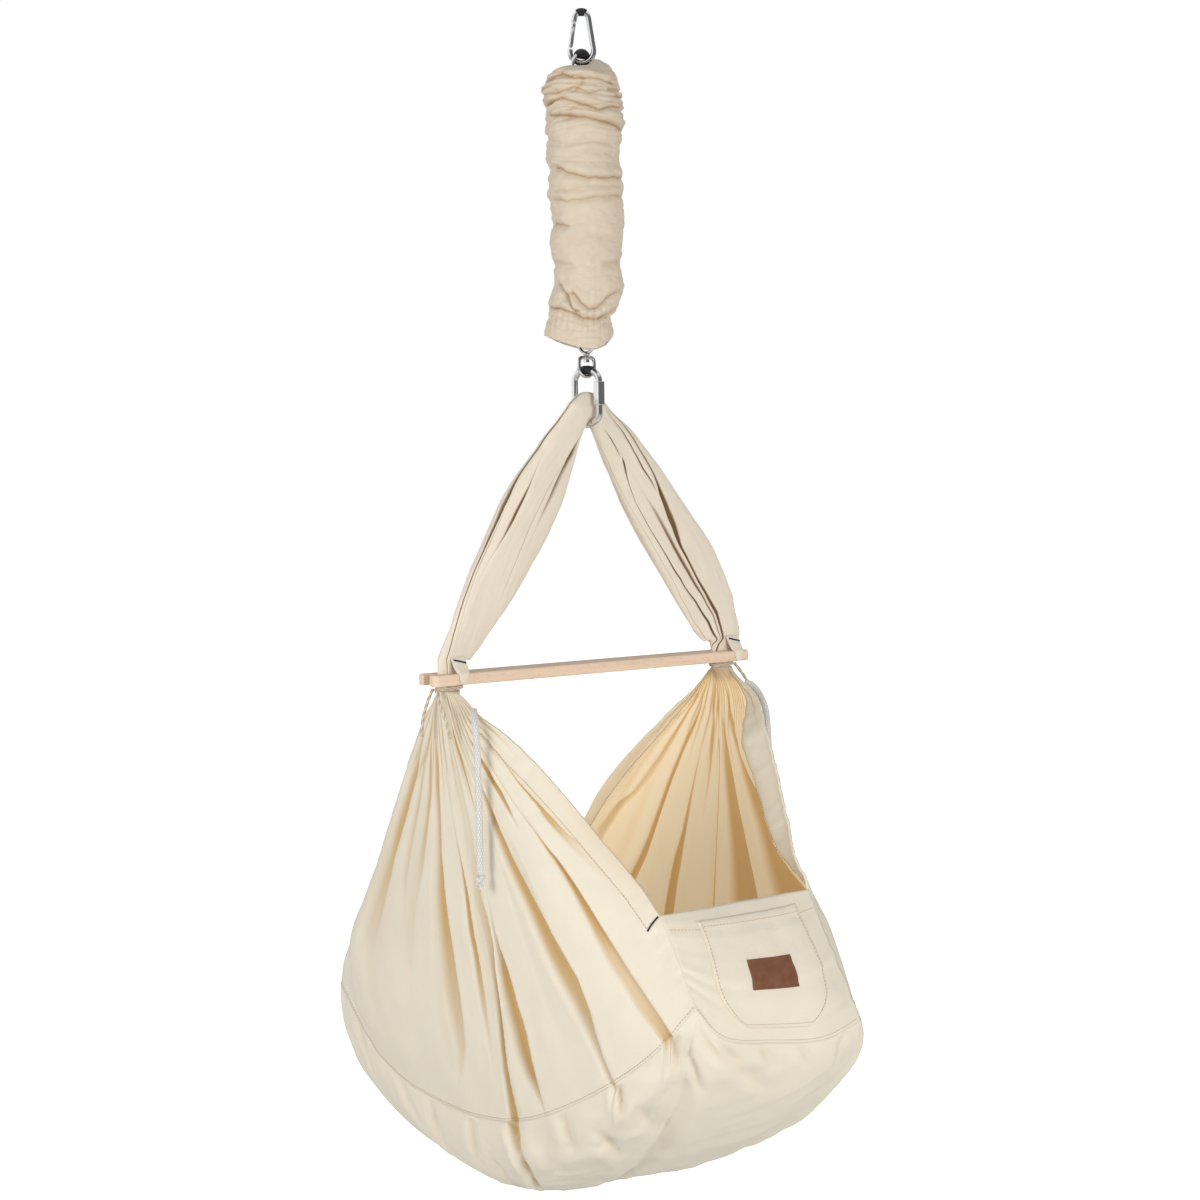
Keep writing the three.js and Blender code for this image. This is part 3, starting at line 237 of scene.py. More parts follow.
def new_material(name):
    """A node material with one Principled shader; gives the material, its tree and the shader."""
    material = bpy.data.materials.new(name)
    material.use_nodes = True
    return material, material.node_tree, material.node_tree.nodes["Principled BSDF"]


def fill_sockets(tree, node, sockets):
    """Gives a node's sockets their values or links."""
    for key, value in dict(sockets).items():
        if isinstance(value, bpy.types.NodeSocket):
            tree.links.new(value, node.inputs[key])
        else:
            node.inputs[key].default_value = value


def add_node(tree, kind, sockets=(), **settings):
    """One node, with its settings and the values or links of its sockets."""
    node = tree.nodes.new(kind)
    for key, value in settings.items():
        setattr(node, key, value)
    fill_sockets(tree, node, sockets)
    return node


def object_place(tree):
    """Where on the object a point is."""
    return add_node(tree, "ShaderNodeTexCoord").outputs["Object"]


def noise(tree, vector, scale, detail, roughness=0.5, distortion=0):
    """A noise texture's value."""
    sockets = {"Vector": vector, "Scale": scale, "Detail": detail, "Roughness": roughness,
               "Distortion": distortion}
    return add_node(tree, "ShaderNodeTexNoise", sockets).outputs["Fac"]


def ramp(tree, value, start, end, low, high, **settings):
    """A value's way from start to end, laid out from low to high."""
    sockets = {0: value, 1: start, 2: end, 3: low, 4: high}
    return add_node(tree, "ShaderNodeMapRange", sockets, **settings).outputs[0]


def relief(tree, height, strength, distance, **below):
    """A bump, laid over the one below if there is one."""
    sockets = {"Height": height, "Strength": strength, "Distance": distance, **below}
    return add_node(tree, "ShaderNodeBump", sockets).outputs[0]


def blend_colours(tree, share, first, second):
    """The first colour where the share is 0 and the second where it is 1."""
    sockets = {0: share, 6: first, 7: second}
    return add_node(tree, "ShaderNodeMix", sockets, data_type="RGBA").outputs[2]


def rope_material(name, white, groove_shade):
    """Cotton yarn: painted shade makes it darker where the mark says that the strands meet, with
    fine fibres.
    """
    material, tree, shader = new_material(name)
    mark = add_node(tree, "ShaderNodeAttribute", attribute_name="groove_shade").outputs["Fac"]
    fibre = noise(tree, object_place(tree), 900, 3, 0.7)
    toned = add_node(tree, "ShaderNodeVectorMath", {
        0: blend_colours(tree, mark, white, groove_shade), "Scale": ramp(tree, fibre, 0, 1, 0.9, 1.06)},
        operation="SCALE")
    fill_sockets(tree, shader, {
        "Base Color": toned.outputs[0], "Normal": relief(tree, fibre, 0.5, 0.0004),
        "Roughness": 0.92, "Sheen Weight": 0.2})
    return material


def braid(turn, lay, half_strands):
    """How high a braid stands, from 0 to 1: the product of two waves that cross."""
    return np.abs(np.sin(half_strands * turn + lay) * np.sin(half_strands * turn - lay)) ** 0.6


drawcord_cotton = rope_material("drawcord_cotton", (0.82, 0.8, 0.77, 1), (0.5, 0.47, 0.43, 1))
for hand, side in both_sides:
    path = curve_through(np.array(drawcord_routes[hand]) / 1000, np.linspace(0, 1, drawcord_steps))
    run = run_along(path)
    turn = np.linspace(0, 2 * np.pi, drawcord_sides, endpoint=False)
    lift = braid(turn, 2 * np.pi * run[:, None] / braid_pitch, braid_strands / 2)
    width = drawcord_diameter / 2 - braid_depth * 0.5 + braid_depth * lift
    end_dome = 1 - 0.6 * np.exp(-np.minimum(run, run[-1] - run) / 0.0006)[:, None]
    grid = tube_grid(path, width * end_dome, drawcord_sides, (1, 0.3, 0.1))
    # The groove mark paints shade where the braid's strands meet
    cord = make_tube(f"{hand}_drawcord_rope", grid, drawcord_cotton, "cradle",
                     marks={"groove_shade": 1 - lift})
    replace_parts(cord, f"{hand}_drawcord")
    # The knot is a trefoil of the same rope, and its tuft a sheaf of cut yarns
    low, high = (np.array(corner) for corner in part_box(f"{hand}_drawcord_knot"))
    middle = (low + high) / 2
    turn = np.linspace(0, 2 * np.pi, knot_sides, endpoint=False)
    lift = braid(turn, np.linspace(0, 0.09, knot_steps, endpoint=False)[:, None] * 390, 4)
    grid = tube_grid(middle + trefoil(knot_steps, knot_radius * 0.225, 1.2),
                     knot_rope + 0.0004 * lift, knot_sides, (0.3, 1, 0.2), closed=True)
    knot = make_tube(f"{hand}_drawcord_end_knot", grid, drawcord_cotton, "cradle",
                     ring=True, marks={"groove_shade": 1 - lift})
    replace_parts(knot, f"{hand}_drawcord_knot")
    random = np.random.default_rng(5 + side)
    drop = np.linspace(0, 1, 5)[:, None]
    points, quads, fans = [], [], []
    for number, root in enumerate(random.normal(0, tuft_spread, (tuft_yarns, 2))):
        flare = np.array([root[0], root[1], 0]) * (0.5 + drop**1.5)
        yarn = middle + flare - np.array([0, 0, 0.003]) - drop * np.array([0, 0, tuft_length])
        grid = tube_grid(yarn, yarn_radius * (1.1 - 0.5 * drop[:, 0]), 4, (1, 0, 0.2))
        yarn_points = np.concatenate([grid.reshape(-1, 3), grid[:1].mean(1), grid[-1:].mean(1)])
        yarn_quads, yarn_fans = loft_faces(5, 4)
        points.append(yarn_points)
        quads.append(yarn_quads + len(yarn_points) * number)
        fans.append(yarn_fans + len(yarn_points) * number)
    points = np.concatenate(points)
    # The tuft takes a tenth of the groove's painted shade all over
    tuft = make_piece(f"{hand}_drawcord_tuft", points, np.concatenate(quads), np.concatenate(fans),
                      drawcord_cotton, "cradle",
                      marks={"groove_shade": np.full(len(points), 0.1)})

# Neck ties and their tails
# A twisted strip of natural cotton is wound twice round each gathered neck under the bar and
# knotted, and its ends hang down at the outside.
tie_diameter, tail_diameter, tie_pitch = 0.0034, 0.005, 0.011
tail_routes = {
    "left_tie_tail": [[-251.4, 3.2, -887], [-255.5, 7, -899], [-261, 14, -925], [-262, 17, -948]],
    "left_near_tie_tail": [[-251.2, -3.8, -887], [-256, -19, -903], [-257, -33, -921],
                           [-255, -41, -946]],
    "right_tie_tail": [[251.3, -2, -887], [259, -7, -899], [268, -10, -914], [272, -10, -930]],
}
neck_x, tie_height = 0.2291, -0.88718
neck_long, neck_wide = 0.0165, 0.0069
# The tie's darker groove tone is painted shade between its strands
tie_cotton = rope_material("tie_cotton", (0.72, 0.63, 0.5, 1), (0.42, 0.33, 0.23, 1))


def twisted_tube(path, diameter, sides, reference, closed=False):
    """Two strands laid round each other: the radius grows and shrinks with the cosine of twice
    the turn less the lay's angle. Gives the rings and how deep each point lies in the groove,
    the mark that paints shade there."""
    run = run_along(path)
    turn = np.linspace(0, 2 * np.pi, sides, endpoint=False)
    laps = max(1, round(run[-1] / tie_pitch)) if closed else run[-1] / tie_pitch
    wave = np.abs(np.cos(turn - np.pi * laps * run[:, None] / run[-1]))
    return tube_grid(path, diameter / 2 * (0.72 + 0.28 * wave), sides, reference, closed), 1 - wave


for name, route in tail_routes.items():
    path = curve_through(np.array(route) / 1000, np.linspace(0, 1, 90))
    grid, groove_shade = twisted_tube(path, tail_diameter, 20, (0.2, 1, 0.1))
    tail = make_tube(f"{name}_strip", grid, tie_cotton, "cradle",
                     marks={"groove_shade": groove_shade})
    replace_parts(tail, name)
    # Each tail ends in a small overhand knot
    loop = path[-1] + trefoil(90, 0.00075) + np.array([0, 0, 0.001])
    grid, groove_shade = twisted_tube(loop, 0.0024, 10, (0.3, 1, 0.2), closed=True)
    tail_knot = make_tube(f"{name}_knot", grid, tie_cotton, "cradle", ring=True,
                          marks={"groove_shade": groove_shade})
for hand, side in both_sides:
    turn = np.linspace(0, 4 * np.pi, 220)
    reach = tie_diameter / 2 + 0.0004
    bowed = [np.sign(f(turn)) * np.abs(f(turn)) ** 0.75 for f in (np.cos, np.sin)]
    path = np.stack([side * neck_x + (neck_long + reach) * bowed[0],
                     (neck_wide + reach) * bowed[1],
                     tie_height + 0.0024 * (turn / (4 * np.pi) - 0.5) * 1.2], -1)
    grid, groove_shade = twisted_tube(path, tie_diameter, 12, (0, 0, 1))
    tie = make_tube(f"{hand}_neck_tie_strip", grid, tie_cotton, "cradle",
                    marks={"groove_shade": groove_shade})
    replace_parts(tie, f"{hand}_neck_tie")

# Studio
# A plain pale floor far below the cradle and a white surround that is brightest in front, with
# two large soft lamps at the height of the straps.
floor_height, floor_half = -2.05, 14
pale, white = (0.86, 0.86, 0.85, 1), (1, 1, 1, 1)


def calculate(tree, operation, first, second):
    """One sum, product or larger of two values."""
    return add_node(tree, "ShaderNodeMath", {0: first, 1: second}, operation=operation).outputs[0]


def choose(tree, share, first, second):
    """The first value where the share is 0 and the second where it is 1."""
    sockets = {0: share, 2: first, 3: second}
    return add_node(tree, "ShaderNodeMix", sockets, data_type="FLOAT").outputs[0]


floor_material, tree, shader = new_material("studio_floor")
seen = add_node(tree, "ShaderNodeLightPath").outputs["Is Camera Ray"]
fill_sockets(tree, shader, {
    "Base Color": pale, "Roughness": 0.9, "Emission Color": white,
    "Emission Strength": calculate(tree, "MULTIPLY", seen, 1.0)})
floor_mesh = bpy.data.meshes.new("studio_floor")
floor_corners = ((-1, -1), (1, -1), (1, 1), (-1, 1))
floor_mesh.from_pydata([(x * floor_half, y * floor_half, floor_height) for x, y in floor_corners],
                       [], [(0, 1, 2, 3)])
floor_mesh.materials.append(floor_material)
floor = put_in_scene("studio_floor", floor_mesh)

surround = bpy.data.worlds.new("surround")
bpy.context.scene.world = surround
surround.use_nodes = True
tree = surround.node_tree
rays = add_node(tree, "ShaderNodeLightPath")
direction = add_node(tree, "ShaderNodeTexCoord").outputs["Generated"]
upward = add_node(tree, "ShaderNodeSeparateXYZ", {0: direction}).outputs["Z"]
facing, leftward = (add_node(tree, "ShaderNodeVectorMath", {0: direction, 1: tuple(way)},
                             operation="DOT_PRODUCT").outputs["Value"]
                    for way in (to_viewer, -to_right))
# Cloth and wood are lit from the front more than from behind and above
from_front = ramp(tree, facing, -1, 1, 0.5, 0.86)
lit = calculate(tree, "MULTIPLY", from_front, ramp(tree, upward, 0.1, 0.9, 1.0, 0.35))
# Steel mirrors a dim room with a pale ceiling and pale walls behind and on the left
room = ramp(tree, facing, -0.75, -0.35, 0.6, 0.13)
left_wall = ramp(tree, leftward, 0.25, 0.6, 0.0, 0.95)
ceiling = ramp(tree, upward, 0.35, 0.75, 0.0, 0.8)
mirrored = calculate(tree, "MAXIMUM", calculate(tree, "MAXIMUM", room, left_wall), ceiling)
indirect = choose(tree, rays.outputs["Is Glossy Ray"], lit, mirrored)
fill_sockets(tree, tree.nodes["Background"], {
    "Color": white, "Strength": choose(tree, rays.outputs["Is Camera Ray"], indirect, 1.0)})


def soft_lamp(name, ahead, aside, above, power):
    """A square area lamp, ahead, aside and above of the straps' middle, which it looks at."""
    lamp = bpy.data.lights.new(name, "AREA")
    lamp.shape, lamp.size, lamp.energy = "SQUARE", 1.5, power
    holder = put_in_scene(name, lamp)
    holder.visible_glossy = False
    target = np.array([0, 0, -1.0])
    place = target + to_viewer * ahead + to_right * aside + np.array([0, 0, above])
    ray = unit(target - place)
    side = unit(np.cross(ray, (0, 0, 1)))
    axes = np.eye(4)
    axes[:3] = np.stack([side, np.cross(side, ray), -ray, place], -1)
    holder.matrix_world = axes.T.tolist()


soft_lamp("key_lamp", 1.9, -2.7, 0.9, 46)
soft_lamp("fill_lamp", 2.8, 1.8, 0.2, 47)
bpy.context.scene.view_settings.view_transform = "Standard"

# Snap hook
# A pear-shaped hook of bright zinc-plated wire, closed on its left by a sprung gate with a
# hinge pin below and a latch above. A black sleeve in its top keeps it quiet in the ceiling.
hook_wire, hook_length = 0.0075, 0.075
hook_top_width, hook_bottom_width = 0.0265, 0.039
hook_turn = -36
sleeve_wall, touch_gap = 0.0012, 0.0003


def drawn_out(tree, vector, scale):
    """A vector with a scale of its own on each axis."""
    return add_node(tree, "ShaderNodeMapping", {"Vector": vector, "Scale": scale}).outputs[0]


def steel_material(name, tone, roughness, brushed):
    """Zinc plate: a pale metal whose gloss is broken by fine drawn scratches and soft clouds."""
    material, tree, shader = new_material(name)
    place = object_place(tree)
    scratch = noise(tree, drawn_out(tree, place, brushed), 1, 4)
    darker = tuple(0.93 * x for x in tone[:3]) + (1,)
    fill_sockets(tree, shader, {
        "Base Color": blend_colours(tree, noise(tree, place, 160, 3), darker, tone),
        "Roughness": ramp(tree, scratch, 0, 1, roughness * 0.7, roughness * 1.5),
        "Normal": relief(tree, scratch, 0.08, 0.0002), "Metallic": 1})
    return material


def rubber_material(name):
    """Black moulded rubber, nearly even, with a fine grain and a dull shine."""
    material, tree, shader = new_material(name)
    grain = noise(tree, object_place(tree), 700, 3)
    fill_sockets(tree, shader, {
        "Base Color": blend_colours(tree, grain, (0.009, 0.01, 0.013, 1), (0.02, 0.021, 0.025, 1)),
        "Normal": relief(tree, grain, 0.25, 0.0003), "Roughness": 0.5})
    return material


def arc_points(centre_x, centre_z, radius, start, end, steps, rise=None):
    """Points of an arc in the XZ plane, from one angle in degrees to another."""
    turn = np.radians(np.linspace(start, end, steps))
    rise = radius if rise is None else rise
    return np.stack([centre_x + radius * np.cos(turn), np.zeros(steps),
                     centre_z + rise * np.sin(turn)], -1)


def turned(points, degrees):
    """Points turned about the upright line through the origin."""
    c, s = np.cos(np.radians(degrees)), np.sin(np.radians(degrees))
    return points @ np.array([[c, s, 0], [-s, c, 0], [0, 0, 1]])


def square_to_ring(degrees):
    """The direction square to an upright ring that is turned."""
    return turned(np.array([[0, 1.0, 0]]), degrees)[0]


def points_at(places, run, points):
    """The points of a line at places along its run."""
    return np.stack([np.interp(places, run, points[:, k]) for k in range(3)], -1)


def even_steps(points, steps):
    """The same line with its points spread evenly by length."""
    run = run_along(points)
    return points_at(np.linspace(0, run[-1], steps), run, points)


def domed(radius, steps, end_share=0.03):
    """A radius for each ring that closes in over a rounded end, as sqrt(1 - t^2)."""
    x = np.linspace(0, 1, steps)
    near = np.clip(np.minimum(x, 1 - x) / end_share, 0, 1)
    return radius * np.sqrt(np.clip(1 - (1 - near) ** 2, 0.0004, 1))


def turned_profile(profile, sides=40):
    """Rings of a lathe turning: each (radius, height) pair of the profile carried round."""
    turn = np.linspace(0, 2 * np.pi, sides, endpoint=False)
    radius, height = np.array(profile, float).T
    return np.stack([radius[:, None] * np.cos(turn), radius[:, None] * np.sin(turn),
                     np.broadcast_to(height[:, None], (len(profile), sides))], -1)


bright_steel = steel_material("bright_zinc_steel", (0.86, 0.87, 0.88, 1), 0.16, (900, 900, 120))
black_sleeve = rubber_material("black_sleeve_rubber")
top_radius, bottom_radius = (hook_top_width - hook_wire) / 2, (hook_bottom_width - hook_wire) / 2
hook_top = hook_wire / 2 + touch_gap + sleeve_wall
hook_bottom = hook_top - (hook_length - hook_wire)
top_centre, bottom_centre = hook_top - top_radius, hook_bottom + bottom_radius
lean = np.arcsin((bottom_radius - top_radius) / (top_centre - bottom_centre))
lean_degrees = np.degrees(lean)
leg_foot, leg_head = (
    np.array([-radius * np.cos(lean), 0, centre + radius * np.sin(lean)])
    for radius, centre in ((bottom_radius, bottom_centre), (top_radius, top_centre)))
leg = leg_head - leg_foot
hinge_share, stub_share, nose_share = 0.17, 0.03, 0.86
hook_line = np.concatenate([
    [leg_foot + leg * stub_share],
    arc_points(0, bottom_centre, bottom_radius, 180 - lean_degrees, 360 + lean_degrees, 60),
    arc_points(0, top_centre, top_radius, lean_degrees, 180 - lean_degrees, 50),
    [leg_foot + leg * nose_share]])
hook_line = turned(even_steps(hook_line, 200), hook_turn)
hook_plane = square_to_ring(hook_turn)
hook_grid = tube_grid(hook_line, domed(hook_wire / 2, 200, 0.012), 28, hook_plane)
hook_body = make_tube("snap_hook_wire", hook_grid, bright_steel, "hook")
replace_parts(hook_body, "snap_hook_body")
# The tongue under the gate's fork, 2.2 times as wide in the hook's plane as square to it
hinge, leg_axis = leg_foot + leg * hinge_share, unit(leg)
tongue_line = turned(hinge + leg_axis * np.linspace(-0.0052, 0.0024, 8)[:, None], hook_turn)
tongue_grid = tube_grid(tongue_line, domed(0.0011, 8, 0.2), 12, hook_plane)
in_plane = turned(np.cross(leg_axis, (0, 1, 0))[None], hook_turn)[0]
sideways = (tongue_grid - tongue_line[:, None]) @ in_plane
tongue_grid += 1.2 * sideways[..., None] * in_plane
make_tube("snap_hook_tongue", tongue_grid, bright_steel, "hook")
# The gate bar is turned with a groove below its nose
gate_radius, gate_neck = 0.0032, 0.0029
gate_top = np.linalg.norm(leg) * (nose_share - hinge_share) - 0.0006
gate_profile = [
    (0.0002, -0.0028), (0.0022, -0.0028), (0.003, -0.002), (gate_radius, -0.001),
    (gate_radius, 0.0042), (gate_radius, gate_top - 0.0082), (gate_neck, gate_top - 0.0078),
    (gate_neck, gate_top - 0.0072), (gate_radius, gate_top - 0.0068),
    (gate_radius, gate_top - 0.001), (0.0027, gate_top - 0.0002), (0.0002, gate_top)]
tilt = np.array([[np.cos(lean), 0, -np.sin(lean)], [0, 1, 0], [np.sin(lean), 0, np.cos(lean)]])
gate_grid = turned(turned_profile(gate_profile) @ tilt + hinge, hook_turn)
gate = make_tube("snap_hook_gate_bar", gate_grid, bright_steel, "gate")
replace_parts(gate, "snap_hook_gate")
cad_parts["gate_pin"].data.materials.clear()
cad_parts["gate_pin"].data.materials.append(bright_steel)


def sleeve_on(name, line, outer, plane, body):
    """A rubber sleeve round a stretch of wire: a tube whose ends close in to the wire."""
    grid = tube_grid(line, np.maximum(outer * domed(1, len(line), 0.16), outer * 0.2), 28, plane)
    return make_tube(name, grid, black_sleeve, body)


top_line = turned(arc_points(0, top_centre, top_radius, 50, 130, 40), hook_turn)
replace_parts(sleeve_on("snap_hook_top_sleeve", top_line, hook_wire / 2 + touch_gap + sleeve_wall,
                      hook_plane, "hook"), "snap_hook_sleeve")

# Spring and its eyes
# A steel extension spring hangs from a wire eye in the snap hook and holds another below. Each
# eye is a ring with a stem, whose head the coil's last turn closes over.
eye_wire = 0.005
upper_eye_radius, lower_eye_radius = 0.018, 0.012
upper_eye_turn, lower_eye_turn = 9, 19
upper_pad_radius, lower_pad_radius = 0.008, 0.0055
stem_radius, stem_length, head_radius, head_thickness = 0.0025, 0.024, 0.0075, 0.004
coil_wire, coil_radius, coil_end_radius, coil_turns, coil_flat = 0.005, 0.0165, 0.0065, 20, 0.9
spring_length = 0.275
upper_eye_height = hook_bottom + hook_wire / 2 + touch_gap + upper_pad_radius - upper_eye_radius
spring_top = upper_eye_height - upper_eye_radius - stem_length - head_thickness
spring_foot = spring_top - spring_length + 2 * head_thickness
lower_eye_height = spring_foot - head_thickness - stem_length - lower_eye_radius


def wire_ring(height, radius, wire, turn):
    """An upright ring of wire."""
    line = turned(arc_points(0, height, radius, 0, 360, 97)[:-1], turn)
    return tube_grid(line, wire / 2, 24, square_to_ring(turn), closed=True)


for eye, body, height, radius, turn, pad, way, middle_angle, arc_half in (
        ("upper", "spring_head", upper_eye_height, upper_eye_radius, upper_eye_turn,
         upper_pad_radius, -1, 90, 36),
        ("lower", "spring_foot", lower_eye_height, lower_eye_radius, lower_eye_turn,
         lower_pad_radius, 1, 270, 100)):
    ring = make_tube(f"{eye}_eye_ring", wire_ring(height, radius, eye_wire, turn), bright_steel,
                     body, ring=True)
    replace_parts(ring, f"{eye}_spring_eye")
    root = height + way * radius
    neck = root + way * stem_length
    outline = [(0.0002, root), (stem_radius, root), (stem_radius, neck - way * 0.001),
               (head_radius - 0.001, neck), (head_radius, neck + way * 0.001),
               (head_radius, neck + way * (head_thickness - 0.001)),
               (head_radius - 0.001, neck + way * head_thickness),
               (0.0002, neck + way * head_thickness)]
    make_tube(f"{eye}_eye_stem", turned_profile(outline), bright_steel, body)
    pad_line = turned(arc_points(0, height, radius, middle_angle - arc_half,
                                 middle_angle + arc_half, 44), turn)
    bulge = 0.0042 + (pad - 0.0053) * np.sin(np.linspace(0, np.pi, 44)) ** 0.8
    pad_grid = tube_grid(pad_line, bulge * domed(1, 44, 0.05), 28, square_to_ring(turn))
    sleeve = make_tube(f"{eye}_eye_pad", pad_grid, black_sleeve, body)
    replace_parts(sleeve, f"{eye}_eye_sleeve")

coil_top = spring_top + head_thickness + touch_gap + coil_wire / 2
coil_foot = spring_foot - head_thickness - touch_gap - coil_wire / 2
laps = np.linspace(0, coil_turns, coil_turns * 28)
from_end = np.minimum(laps, coil_turns - laps)
winding = coil_end_radius + (coil_radius - coil_end_radius) * ease(0.45, 1.3, from_end)
fall = np.clip((laps - coil_flat) / (coil_turns - 2 * coil_flat), 0, 1)
coil_line = np.stack([winding * np.cos(2 * np.pi * laps), winding * np.sin(2 * np.pi * laps),
                      coil_top + (coil_foot - coil_top) * fall], -1)
coil_grid = tube_grid(coil_line, domed(coil_wire / 2, len(coil_line), 0.003), 14, (0, 0, 1))
coil = make_tube("spring_coil_wire", coil_grid, bright_steel, None)
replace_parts(coil, "spring_coil")
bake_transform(coil)

# Swivel
# A forged ring hangs in the lower eye. A riveted bow turns freely under its boss.
swivel_wire, swivel_radius, swivel_turn = 0.0045, 0.0119, -71
boss_radius, boss_length, bow_plate = 0.0046, 0.0046, 0.0044
bow_wire, bow_half, bow_drop = 0.005, 0.0125, 0.0255
swivel_top = lower_eye_height - lower_eye_radius + lower_pad_radius + touch_gap + swivel_wire / 2
swivel_height = swivel_top - swivel_radius
boss_top = swivel_height - swivel_radius + swivel_wire * 0.2
boss_foot = boss_top - boss_length
swivel_grid = wire_ring(swivel_height, swivel_radius, swivel_wire, swivel_turn)
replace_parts(make_tube("swivel_top_ring", swivel_grid, bright_steel, "swivel_top",
                      ring=True), "swivel_ring")
boss_profile = [(0.0002, boss_top + 0.001), (0.003, boss_top + 0.001),
                (boss_radius, boss_top - 0.001), (boss_radius, boss_foot + 0.0008),
                (boss_radius - 0.0008, boss_foot), (0.0002, boss_foot)]
make_tube("swivel_boss", turned_profile(boss_profile), bright_steel, "swivel_top")
bow_top = boss_foot - touch_gap
bow_height = bow_top - bow_plate / 2
bow_foot = bow_height - bow_drop
corner = bow_half * 0.5
bow_line = np.concatenate([
    arc_points(bow_half - corner, bow_height - corner, corner, 90, 0, 20),
    arc_points(0, bow_foot + bow_half, bow_half, 0, -180, 60),
    arc_points(corner - bow_half, bow_height - corner, corner, 180, 90, 20)])
bow_line = even_steps(np.concatenate([bow_line, bow_line[:1]]), 141)[:-1]
# Its wire is pressed flatter under the boss, to the plate's own thickness
flatter = ease(boss_radius * 1.8, boss_radius * 1.2, np.abs(bow_line[:, 0]))
flatter *= bow_line[:, 2] > bow_foot + bow_half
bow_radius = bow_wire / 2 - (bow_wire - bow_plate) / 2 * flatter
bow_grid = tube_grid(bow_line, bow_radius, 24, (0, 1, 0), closed=True)
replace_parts(make_tube("swivel_bow_wire", bow_grid, bright_steel, "swivel_low", ring=True),
            "swivel_bow")
plate_foot = bow_top - bow_plate
plate_profile = [(0.0002, bow_top), (boss_radius - 0.0006, bow_top),
                 (boss_radius, bow_top - 0.0006), (boss_radius, plate_foot + 0.0006),
                 (boss_radius - 0.0006, plate_foot), (0.0002, plate_foot)]
make_tube("swivel_bow_plate", turned_profile(plate_profile), bright_steel, "swivel_low")
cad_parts["swivel_rivet"].data.materials.clear()
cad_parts["swivel_rivet"].data.materials.append(bright_steel)

# Quick link
# A 9 mm wire oval, open on its front leg and closed there by a long hexagon nut. The straps
# hang in its foot, and a black sleeve keeps its top quiet in the swivel.
link_wire, link_half, link_rise, link_straight, link_turn = 0.009, 0.02, 0.015, 0.0437, -71
nut_flats, nut_length, nut_travel, thread_catch = 0.0144, 0.032, 0.011, 0.003
link_sleeve_radius = link_wire / 2 + touch_gap + sleeve_wall
link_top = bow_foot + bow_wire / 2 + touch_gap + link_sleeve_radius
upper_bend = link_top - link_rise
lower_bend = upper_bend - link_straight
link_foot = lower_bend - link_rise
nut_top = upper_bend - link_straight * 0.02
link_line = np.concatenate([
    [[link_half, 0, nut_top - nut_travel]],
    arc_points(0, lower_bend, link_half, 0, -180, 60, link_rise),
    arc_points(0, upper_bend, link_half, 180, 0, 60, link_rise),
    [[link_half, 0, nut_top - thread_catch]]])
link_line = turned(even_steps(link_line, 220), link_turn)
link_plane = square_to_ring(link_turn)
link_grid = tube_grid(link_line, domed(link_wire / 2, 220, 0.006), 32, link_plane)
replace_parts(make_tube("quick_link_wire", link_grid, bright_steel, "link"),
            "quick_link_body")
link_pad = turned(arc_points(0, upper_bend, link_half, 56, 124, 40, link_rise), link_turn)
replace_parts(sleeve_on("quick_link_top_sleeve", link_pad, link_sleeve_radius, link_plane, "link"),
            "quick_link_sleeve")
# The nut: a hexagon whose ends are turned down to a round shoulder, and its bore
turn = np.linspace(0, 2 * np.pi, 96, endpoint=False)
flat_reach = nut_flats / 2 / np.cos(np.mod(turn, np.pi / 3) - np.pi / 6)
shoulder = np.array([0.78, 0.9, 0.97, 1, 1, 0.97, 0.9, 0.78])
rise = np.array([0, 0.0003, 0.0009, 0.002])
rise = np.concatenate([rise, nut_length - rise[::-1]])
corner_reach = nut_flats / 2 / np.cos(np.pi / 6)
reach = np.minimum(flat_reach[None], corner_reach * (shoulder + 0.03)[:, None])
bore = link_wire / 2 + 0.00012
outer = np.stack([reach * np.cos(turn), reach * np.sin(turn),
                  np.broadcast_to(rise[:, None], reach.shape)], -1)
inner = outer[::-1].copy()
inner[..., 0], inner[..., 1] = bore * np.cos(turn), bore * np.sin(turn)
nut_grid = np.concatenate([outer, inner]) + np.array([link_half, 0, nut_top - nut_length])
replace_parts(make_tube("quick_link_hexagon_nut", turned(nut_grid, link_turn), bright_steel,
                      "link_nut", ring=True), "quick_link_nut")

# Spreader bar
# A flat board of steamed beech, oiled, with rounded edges and a fork slot cut in each end. Its
# grain runs along it, with short dark flecks.
beech, tree, shader = new_material("oiled_beech")
place = object_place(tree)
bands = noise(tree, drawn_out(tree, place, (3, 90, 90)), 1, 6, 0.62, 0.5)
flecks = noise(tree, drawn_out(tree, place, (120, 900, 900)), 1, 2)
fleck_tone = calculate(tree, "MULTIPLY", ramp(tree, flecks, 0.58, 0.72, 0, 1), 0.35)
board = blend_colours(tree, bands, (0.7, 0.5, 0.36, 1), (0.92, 0.73, 0.56, 1))
fill_sockets(tree, shader, {
    "Base Color": blend_colours(tree, fleck_tone, board, (0.36, 0.19, 0.11, 1)),
    "Normal": relief(tree, flecks, 0.15, 0.0003), "Roughness": 0.5})
bar_drop, bar_half, bar_width, bar_thickness = 0.875, 0.264, 0.045, 0.015
bar_corner, bar_edge, outline_steps = 0.007, 0.0022, 1000
slot_half, slot_depth = 0.0075, 0.052
root = bar_half - slot_depth + slot_half


def rounded(centre, radius, start, end, steps=10):
    """Points of a quarter turn, or more, of an outline's corner."""
    turn = np.radians(np.linspace(start, end, steps))
    return np.stack([centre[0] + radius * np.cos(turn), centre[1] + radius * np.sin(turn)], -1)


